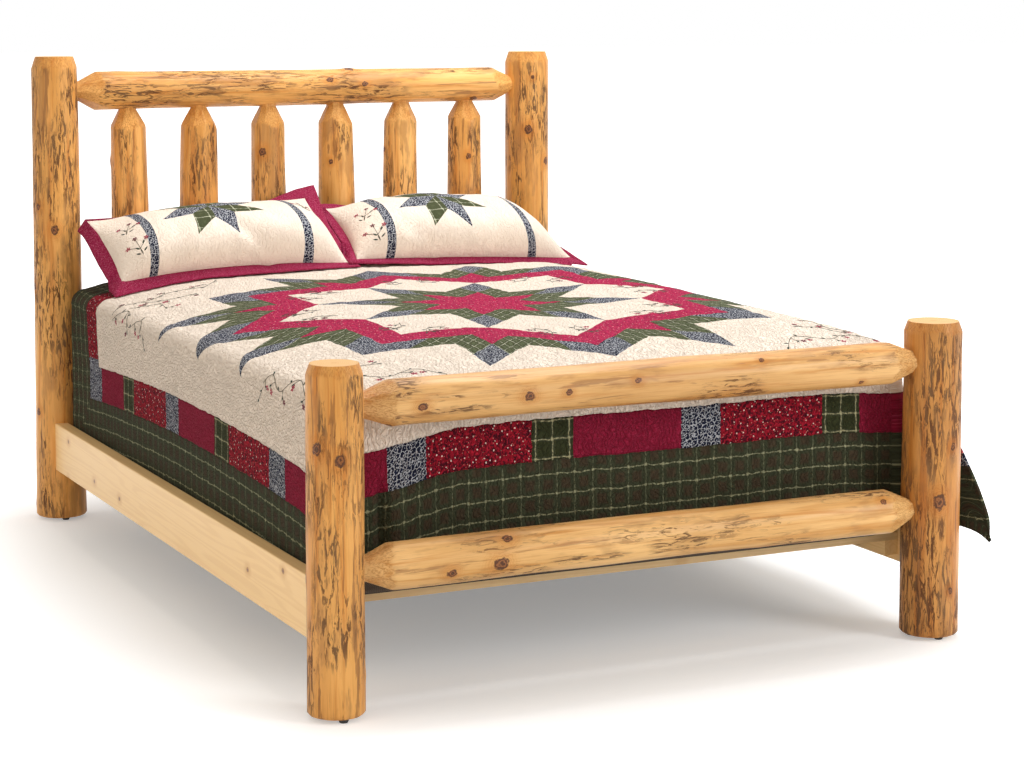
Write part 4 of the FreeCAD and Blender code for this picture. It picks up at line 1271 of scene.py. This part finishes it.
class Sham:
    """A filled sham that lies back on the spindles, with a loose flange round its seam.

    low and high are the seam's two long runs, left to right. The flange reaches out by the
    given steps at eight places: front left, front middle, front right, right middle, back
    right, back middle, back left and left middle.
    """

    nu, nv = 96, 52
    back = ((0.095, -0.120), (0.020, -0.085))

    def __init__(self, name, body, low, high, flange, star, seed, crease, front):
        self.name = name
        self.body = body
        self.low = low
        self.high = high
        self.flange = [Vector(step) for step in flange]
        self.star = star
        self.seed = seed
        self.crease = crease
        self.front = front
        self.width = (Vector(low[2]) - Vector(low[0])).length

    def row(self, j):
        """How far up the sham its row j lies, closer together at the seams."""
        return 0.5 - 0.5 * math.cos(math.pi * j / self.nv)

    def point(self, s, t, is_front=True):
        """A place on the sham: s from -1 to 1 across, t from 0 at the front seam to 1 behind."""
        a, b = between(self.low, (s + 1) / 2), between(self.high, (s + 1) / 2)
        sag = 0.016 * (1 - (2 * t - 1) ** 2) * abs(s) ** 4
        chord = a.lerp(b, t)
        chord.x -= sag * s
        full = max(1 - abs(s) ** 3.0, 0.0) ** 0.55
        first, second = self.front if is_front else self.back
        near, far = 3 * (1 - t) ** 2 * t, 3 * (1 - t) * t * t
        out = Vector((0, near * first[0] + far * second[0], near * first[1] + far * second[1]))
        if is_front:
            wave = noise.noise(Vector((s * 2.3, t * 2.1, self.seed)))
            small = noise.noise(Vector((s * 8.0, t * 6.0, self.seed + 4)))
            out *= 1 + 0.10 * wave + 0.035 * small
            for s0, t0, s1, t1, depth, width in self.crease:
                along = Vector((s1 - s0, t1 - t0))
                rel = Vector((s - s0, t - t0))
                run = min(max(rel.dot(along) / along.length_squared, 0.0), 1.0)
                gap = (rel - along * run).length
                fade = math.sin(math.pi * min(max(0.12 + 0.76 * run, 0.0), 1.0))
                out -= Vector((0, -0.4, 0.9)) * depth * fade * math.exp(-(gap / width) ** 2)
        return chord + out * full

    def build(self):
        verts, faces, flat, slots = [], [], [], []
        nu, nv = self.nu, self.nv
        spread = [-1 + 2 * i / nu for i in range(nu + 1)]
        spread = [0.6 * s + 0.4 * math.sin(s * math.pi / 2) for s in spread]
        rows = [self.row(j) for j in range(nv + 1)]
        runs = {}
        for is_front in (False, True):
            middles = [self.point(0, t, is_front) for t in rows]
            run = [0.0]
            for here, after in zip(middles, middles[1:]):
                run.append(run[-1] + (after - here).length)
            runs[is_front] = run
        for is_front in (True, False):
            base, run = len(verts), runs[is_front]
            verts += [self.point(s, t, is_front) for t in rows for s in spread]
            for j in range(nv):
                for i in range(nu):
                    k = base + j * (nu + 1) + i
                    corners = [k, k + 1, k + nu + 2, k + nu + 1]
                    pairs = [(i, j), (i + 1, j), (i + 1, j + 1), (i, j + 1)]
                    if not is_front:
                        corners.reverse()
                        pairs.reverse()
                    faces.append(tuple(corners))
                    slots.append(0 if is_front else 2)
                    flat += [(spread[a] * self.width / 2 + self.star[0], run[b] - self.star[1])
                             for a, b in pairs]
        piece = make_piece(self.name + "_body", verts, faces, [SHAM_FRONT, FLANGE, SHAM_BACK],
                           flat=flat, slots=slots, body=self.body)
        weld = piece.modifiers.new("weld", "WELD")
        weld.merge_threshold = 0.0003
        bake(piece)
        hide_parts(self.name)
        self.run = runs[True]
        self.build_flange()

    def seam(self, side, share):
        return self.point(*((2 * share - 1, 0.0), (1, share), (1 - 2 * share, 1.0),
                            (-1, 1 - share))[side])

    def build_flange(self):
        """The flat band sewn round the sham, rippled, with mitred corners."""
        verts, rim = [], []
        travelled = 0.0
        for side in range(4):
            count = 84 if side in (0, 2) else 40
            steps = [self.flange[(2 * side + k) % 8] for k in range(3)]
            for k in range(count):
                share = k / count
                if share < 0.5:
                    step = steps[0].lerp(steps[1], smooth_step(0.0, 0.42, share))
                else:
                    step = steps[1].lerp(steps[2], smooth_step(0.58, 1.0, share))
                rim.append((self.seam(side, share), step, travelled))
                travelled += 0.008
        rows = 7
        n = len(rim)
        for face in (1, -1):
            for row in range(rows + 1):
                grow = row / rows
                for place, step, gone in rim:
                    lift = noise.noise(Vector((gone * 9, self.seed, grow * 0.8))) * 0.007 * grow
                    lift += noise.noise(Vector((gone * 31, self.seed, grow * 2))) * 0.002 * grow
                    normal = Vector((0, -0.42, 0.90))
                    thick = face * (0.0032 - 0.0014 * (row == rows))
                    spot = place - step * 0.10 + step * 1.10 * grow + normal * (lift + thick)
                    if spot.y < 0.80 and abs(spot.x) < quilt.x1:
                        bed = quilt.top_point(spot.x, spot.y).z + 0.005 + thick
                        spot.z = max(bed, spot.z - 0.75 * (spot.z - bed) * grow ** 1.5)
                    verts.append(spot)
        layer = (rows + 1) * n
        faces = ring_faces(0, n, rows, flip=True) + ring_faces(layer, n, rows)
        for k in range(n):
            a, b = rows * n + k, rows * n + (k + 1) % n
            faces.append((a, a + layer, b + layer, b))
            a, b = k, (k + 1) % n
            faces.append((b, b + layer, a + layer, a))
        flat = [(verts[c].x, verts[c].y + verts[c].z) for corners in faces for c in corners]
        piece = make_piece(self.name + "_flange", verts, faces, [FLANGE], flat=flat, body=self.body)

    def on_face(self, u, v):
        """Place and outward direction of a spot given in the sham's flat metres."""
        s = (u - self.star[0]) * 2 / self.width
        want = v + self.star[1]
        j = 0
        while j < self.nv - 1 and self.run[j + 1] < want:
            j += 1
        share = (want - self.run[j]) / (self.run[j + 1] - self.run[j])
        t = self.row(j + share)
        here = self.point(s, t)
        across = self.point(s + 0.01, t) - here
        up = self.point(s, t + 0.01) - here
        return here, across.cross(up).normalized()


LEFT_SHAM = Sham(
    "pillow_left", "left_pillow",
    ((-0.690, 0.752, 0.738), (-0.380, 0.735, 0.771), (0.004, 0.735, 0.764)),
    ((-0.726, 0.995, 0.898), (-0.366, 1.022, 0.908), (-0.036, 0.992, 0.944)),
    ((-0.026, -0.030, -0.036), (0.0, -0.040, -0.014), (0.024, -0.028, -0.006), (0.034, 0.0, -0.008),
     (0.040, 0.034, 0.034), (0.0, 0.030, -0.030), (-0.014, 0.024, -0.030), (-0.026, 0.004, -0.034)),
    (0.0, 0.268), 2.0,
    ((0.02, 0.42, 0.36, 0.02, 0.016, 0.055), (0.30, 0.30, 0.56, 0.10, -0.006, 0.08)),
    ((-0.240, 0.150), (0.055, 0.102)))
RIGHT_SHAM = Sham(
    "pillow_right", "right_pillow",
    ((0.026, 0.738, 0.772), (0.385, 0.738, 0.764), (0.742, 0.722, 0.745)),
    ((0.020, 0.985, 0.908), (0.340, 1.020, 0.898), (0.590, 0.978, 0.922)),
    ((-0.030, -0.020, 0.020), (0.0, -0.040, -0.018), (0.032, -0.038, -0.016), (0.030, 0.004, -0.010),
     (0.026, 0.022, -0.008), (0.0, 0.034, -0.004), (-0.020, 0.030, 0.010), (-0.030, 0.0, 0.004)),
    (0.016, 0.262), 9.0, ((-0.62, 0.30, -0.30, 0.04, 0.008, 0.06),),
    ((-0.240, 0.150), (0.058, 0.134)))
LEFT_SHAM.build()
RIGHT_SHAM.build()


# ---------------------------------------------------------------- embroidery


def thread(name, tone):
    g = Graph(name)
    place = g.object()
    strand = g.noise(g.scaled(place, (1400, 1400, 1400)), detail=1)
    color = g.mix(g.step(strand, 0.35, 0.65), tone, toned(tone, 0.62))
    return g.finish(color, 0.62, g.bump(strand, 0.0003, 0.6), Specular_IOR_Level=0.25)


THREADS = [thread("leaf thread", (0.030, 0.048, 0.030)), thread("stem thread", (0.105, 0.090, 0.055)),
           thread("rose thread", (0.48, 0.060, 0.105)), thread("wine thread", (0.16, 0.015, 0.035))]
LEAF, STEM, ROSE, WINE = range(4)


def turned(angle, points):
    c, s = math.cos(angle), math.sin(angle)
    return [(a * c - b * s, a * s + b * c) for a, b in points]


class Embroidery:
    """Raised satin stitches laid on a surface that maps flat metres to places."""

    def __init__(self, surface, seed):
        self.surface = surface
        self.rng = random.Random(seed)
        self.verts, self.faces, self.slots = [], [], []

    def patch(self, rim, slot, rise=0.0011):
        """A small domed patch; rim is a ring of flat places round its middle."""
        n = len(rim)
        base = len(self.verts)
        mid = (sum(p[0] for p in rim) / n, sum(p[1] for p in rim) / n)
        for p in rim:
            place, normal = self.surface(*p)
            self.verts.append(place + normal * 0.0002)
        for p in rim:
            q = (p[0] * 0.7 + mid[0] * 0.3, p[1] * 0.7 + mid[1] * 0.3)
            place, normal = self.surface(*q)
            self.verts.append(place + normal * rise * 0.85)
        place, normal = self.surface(*mid)
        self.verts.append(place + normal * rise)
        for k in range(n):
            after = (k + 1) % n
            self.faces.append((base + k, base + after, base + n + after, base + n + k))
            self.faces.append((base + n + k, base + n + after, base + 2 * n))
            self.slots += [slot, slot]

    def leaf(self, x, y, angle, length, width, slot=LEAF):
        rim = turned(angle, [(along * length, side * width / 2) for along, side in (
            (0, 0), (0.25, -0.8), (0.55, -1), (0.85, -0.5), (1, 0), (0.85, 0.5), (0.55, 1),
            (0.25, 0.8))])
        self.patch([(x + a, y + b) for a, b in rim], slot)

    def stem(self, path, width, slot=STEM):
        """A raised line of stitches along a path of flat places."""
        base = len(self.verts)
        for k, p in enumerate(path):
            a, b = path[max(k - 1, 0)], path[min(k + 1, len(path) - 1)]
            dx, dy = b[0] - a[0], b[1] - a[1]
            size = math.hypot(dx, dy) or 1.0
            nx, ny = -dy / size * width / 2, dx / size * width / 2
            for share, rise in ((-1, 0.0002), (0, 0.0010), (1, 0.0002)):
                place, normal = self.surface(p[0] + nx * share, p[1] + ny * share)
                self.verts.append(place + normal * rise)
        for k in range(len(path) - 1):
            for j in range(2):
                a = base + 3 * k + j
                self.faces.append((a, a + 3, a + 4, a + 1))
                self.slots.append(slot)

    def flower(self, x, y, size, slot=ROSE):
        start = self.rng.uniform(0, 6.28)
        for k in range(5):
            angle = start + 2 * math.pi * k / 5
            self.leaf(x + 0.15 * size * math.cos(angle), y + 0.15 * size * math.sin(angle), angle,
                      size * 0.85, size * 0.55, slot)
        self.leaf(x - 0.2 * size, y, 0.0, size * 0.4, size * 0.4, WINE)

    def sprig(self, x, y, angle, size):
        """Three small flowers on a forked stem, with leaves at its foot."""
        def to(a, b):
            (u, v), = turned(angle, [(a, b)])
            return x + u * size, y + v * size

        foot = to(0, -0.5)
        fork = to(0, -0.15)
        for end, slot in ((to(-0.45, 0.30), ROSE), (to(0.05, 0.55), WINE), (to(0.5, 0.25), ROSE)):
            path = [foot, fork, (fork[0] * 0.4 + end[0] * 0.6, fork[1] * 0.45 + end[1] * 0.55), end]
            self.stem(self.soften(path), 0.0016)
            self.flower(*end, size * 0.13, slot)
        for a, b, turn in ((-0.08, -0.42, 2.5), (0.10, -0.36, 0.5), (-0.05, -0.16, 2.1),
                           (0.2, 0.0, 0.9)):
            self.leaf(*to(a, b), angle + turn, size * 0.26, size * 0.085)

    def soften(self, path, steps=5):
        path = [Vector(p) for p in path]
        dense = [spline(path, k, j / steps) for k in range(len(path) - 1) for j in range(steps)]
        return dense + [path[-1]]

    def vine(self, path, flip=1):
        """A wandering vine with curled side shoots, leaves and small flowers."""
        dense = self.soften(path, 8)
        self.stem(dense, 0.0018)
        side = flip
        for k in range(2, len(dense) - 1, 3):
            a, b = dense[k - 1], dense[k + 1]
            heading = math.atan2(b[1] - a[1], b[0] - a[0])
            x, y = dense[k]
            side = -side
            turn = heading + side * self.rng.uniform(0.6, 1.1)
            if k % 2:
                self.leaf(x, y, turn, self.rng.uniform(0.012, 0.018), 0.0058)
            else:
                reach = self.rng.uniform(0.022, 0.036)
                mid = (x + 0.6 * reach * math.cos(turn), y + 0.6 * reach * math.sin(turn))
                curl = turn + side * 0.9
                end = (mid[0] + 0.55 * reach * math.cos(curl), mid[1] + 0.55 * reach * math.sin(curl))
                self.stem(self.soften([(x, y), mid, end], 4), 0.0014)
                self.leaf(*mid, curl - side, 0.013, 0.005)
                self.flower(*end, self.rng.uniform(0.0075, 0.0095), self.rng.choice((ROSE, WINE)))
        self.leaf(*dense[-1], heading, 0.016, 0.006)

    def build(self, name, body, slot):
        piece = make_piece(name, self.verts, self.faces, THREADS, slots=self.slots, body=body)
        return piece


def embroider_quilt():
    work = Embroidery(quilt.on_cloth, 5)
    for k in range(8):
        for side in (-1, 1):
            near_point = [(0.425, -0.06 * side), (0.475, -0.035 * side), (0.520, -0.05 * side)]
            work.vine(turned(math.radians(45 * k), near_point), side)
    for k in range(4):
        angle = math.radians(45 + 90 * k)
        for side in (-1, 1):
            corner = [(1.09, 0.01 * side), (0.99, 0.05 * side), (0.97, 0.13 * side),
                      (0.89, 0.17 * side), (0.90, 0.26 * side)]
            work.vine(turned(angle, corner), side)
            inner = [(1.00, 0.03 * side), (0.92, 0.02 * side), (0.87, 0.07 * side)]
            work.vine(turned(angle, inner), -side)
    return work.build("quilt_embroidery", "root", "quilt_cotton")


def embroider_sham(sham, seed):
    work = Embroidery(sham.on_face, seed)
    for u, v, turn in ((-0.285, -0.035, -0.35), (-0.278, -0.145, 0.25), (0.285, 0.02, 0.3)):
        work.sprig(u, v, turn, 0.064)
    work.build(sham.name + "_embroidery", sham.body, "sham_cotton")


quilt_threads = embroider_quilt()
embroider_sham(LEFT_SHAM, 11)
embroider_sham(RIGHT_SHAM, 12)


# ---------------------------------------------------------------- studio


def shade(g, unseen, seen):
    """The look that light meets, and the look that the camera sees."""
    g.put(g.output.inputs[0], g.fill("ShaderNodeMixShader", g.seen(), unseen, seen))


def studio():
    g = Graph("pale floor with painted glow")
    diffuse = g.fill("ShaderNodeBsdfDiffuse", (0.83, 0.855, 0.88))
    # Painted glow seen only by the camera: weak near the bed and full white further out, so the floor away
    # from the bed turns white.
    x, y, z = g.split(g.scaled(g.object(), (0.80, 0.62, 1.0)))
    glow = g.fill("ShaderNodeEmission", (1.0, 1.0, 1.0),
                  g.step(g.length(x, y), 0.75, 1.55, 0.26, 1.0))
    shade(g, diffuse, g.fill("ShaderNodeAddShader", diffuse, glow))
    size = 60.0
    floor = make_piece("floor", [(-size, -size, 0), (size, -size, 0), (size, size, 0), (-size, size, 0)],
                       [(0, 1, 2, 3)], [g.owner], smooth=False, body=None)

    g = Graph("studio", world=True)
    bpy.context.scene.world = g.owner
    shade(g, g.fill("ShaderNodeBackground", (1.0, 0.915, 0.82), 0.58),
          g.fill("ShaderNodeBackground", (1.0, 1.0, 1.0), 1.0))

    for name, place, aim, size, power in (
            ("overhead", (0.8, 0.2, 4.2), (0.1, 0.0, 0.5), 3.0, 138.0),
            ("key from the right", (3.0, -4.6, 2.2), (0.0, 0.0, 0.5), 1.8, 98.0),
            ("warm fill from the left", (-4.6, -2.2, 1.5), (-0.6, 0.0, 0.5), 2.4, 26.0)):
        lamp = bpy.data.lights.new(name, "AREA")
        lamp.shape = "DISK"
        lamp.size = size
        lamp.energy = power
        lamp.color = (1.0, 0.76, 0.52) if name.startswith("warm") else (1.0, 1.0, 1.0)
        holder = bpy.data.objects.new(name, lamp)
        holder.location = place
        holder.rotation_euler = (Vector(aim) - Vector(place)).to_track_quat("-Z", "Y").to_euler()
        bpy.context.scene.collection.objects.link(holder)

    camera = bpy.data.cameras.new("camera")
    camera.lens = 84.24
    camera.sensor_width = 36.0
    camera.shift_y = -0.1575
    camera.clip_end = 200.0
    holder = bpy.data.objects.new("camera", camera)
    holder.location = (-2.63, -5.84, 1.55)
    holder.rotation_euler = (math.radians(90.0 - 5.37), 0.0, math.radians(-25.73))
    bpy.context.scene.collection.objects.link(holder)
    bpy.context.scene.camera = holder
    bpy.context.scene.view_settings.view_transform = "Standard"


studio()
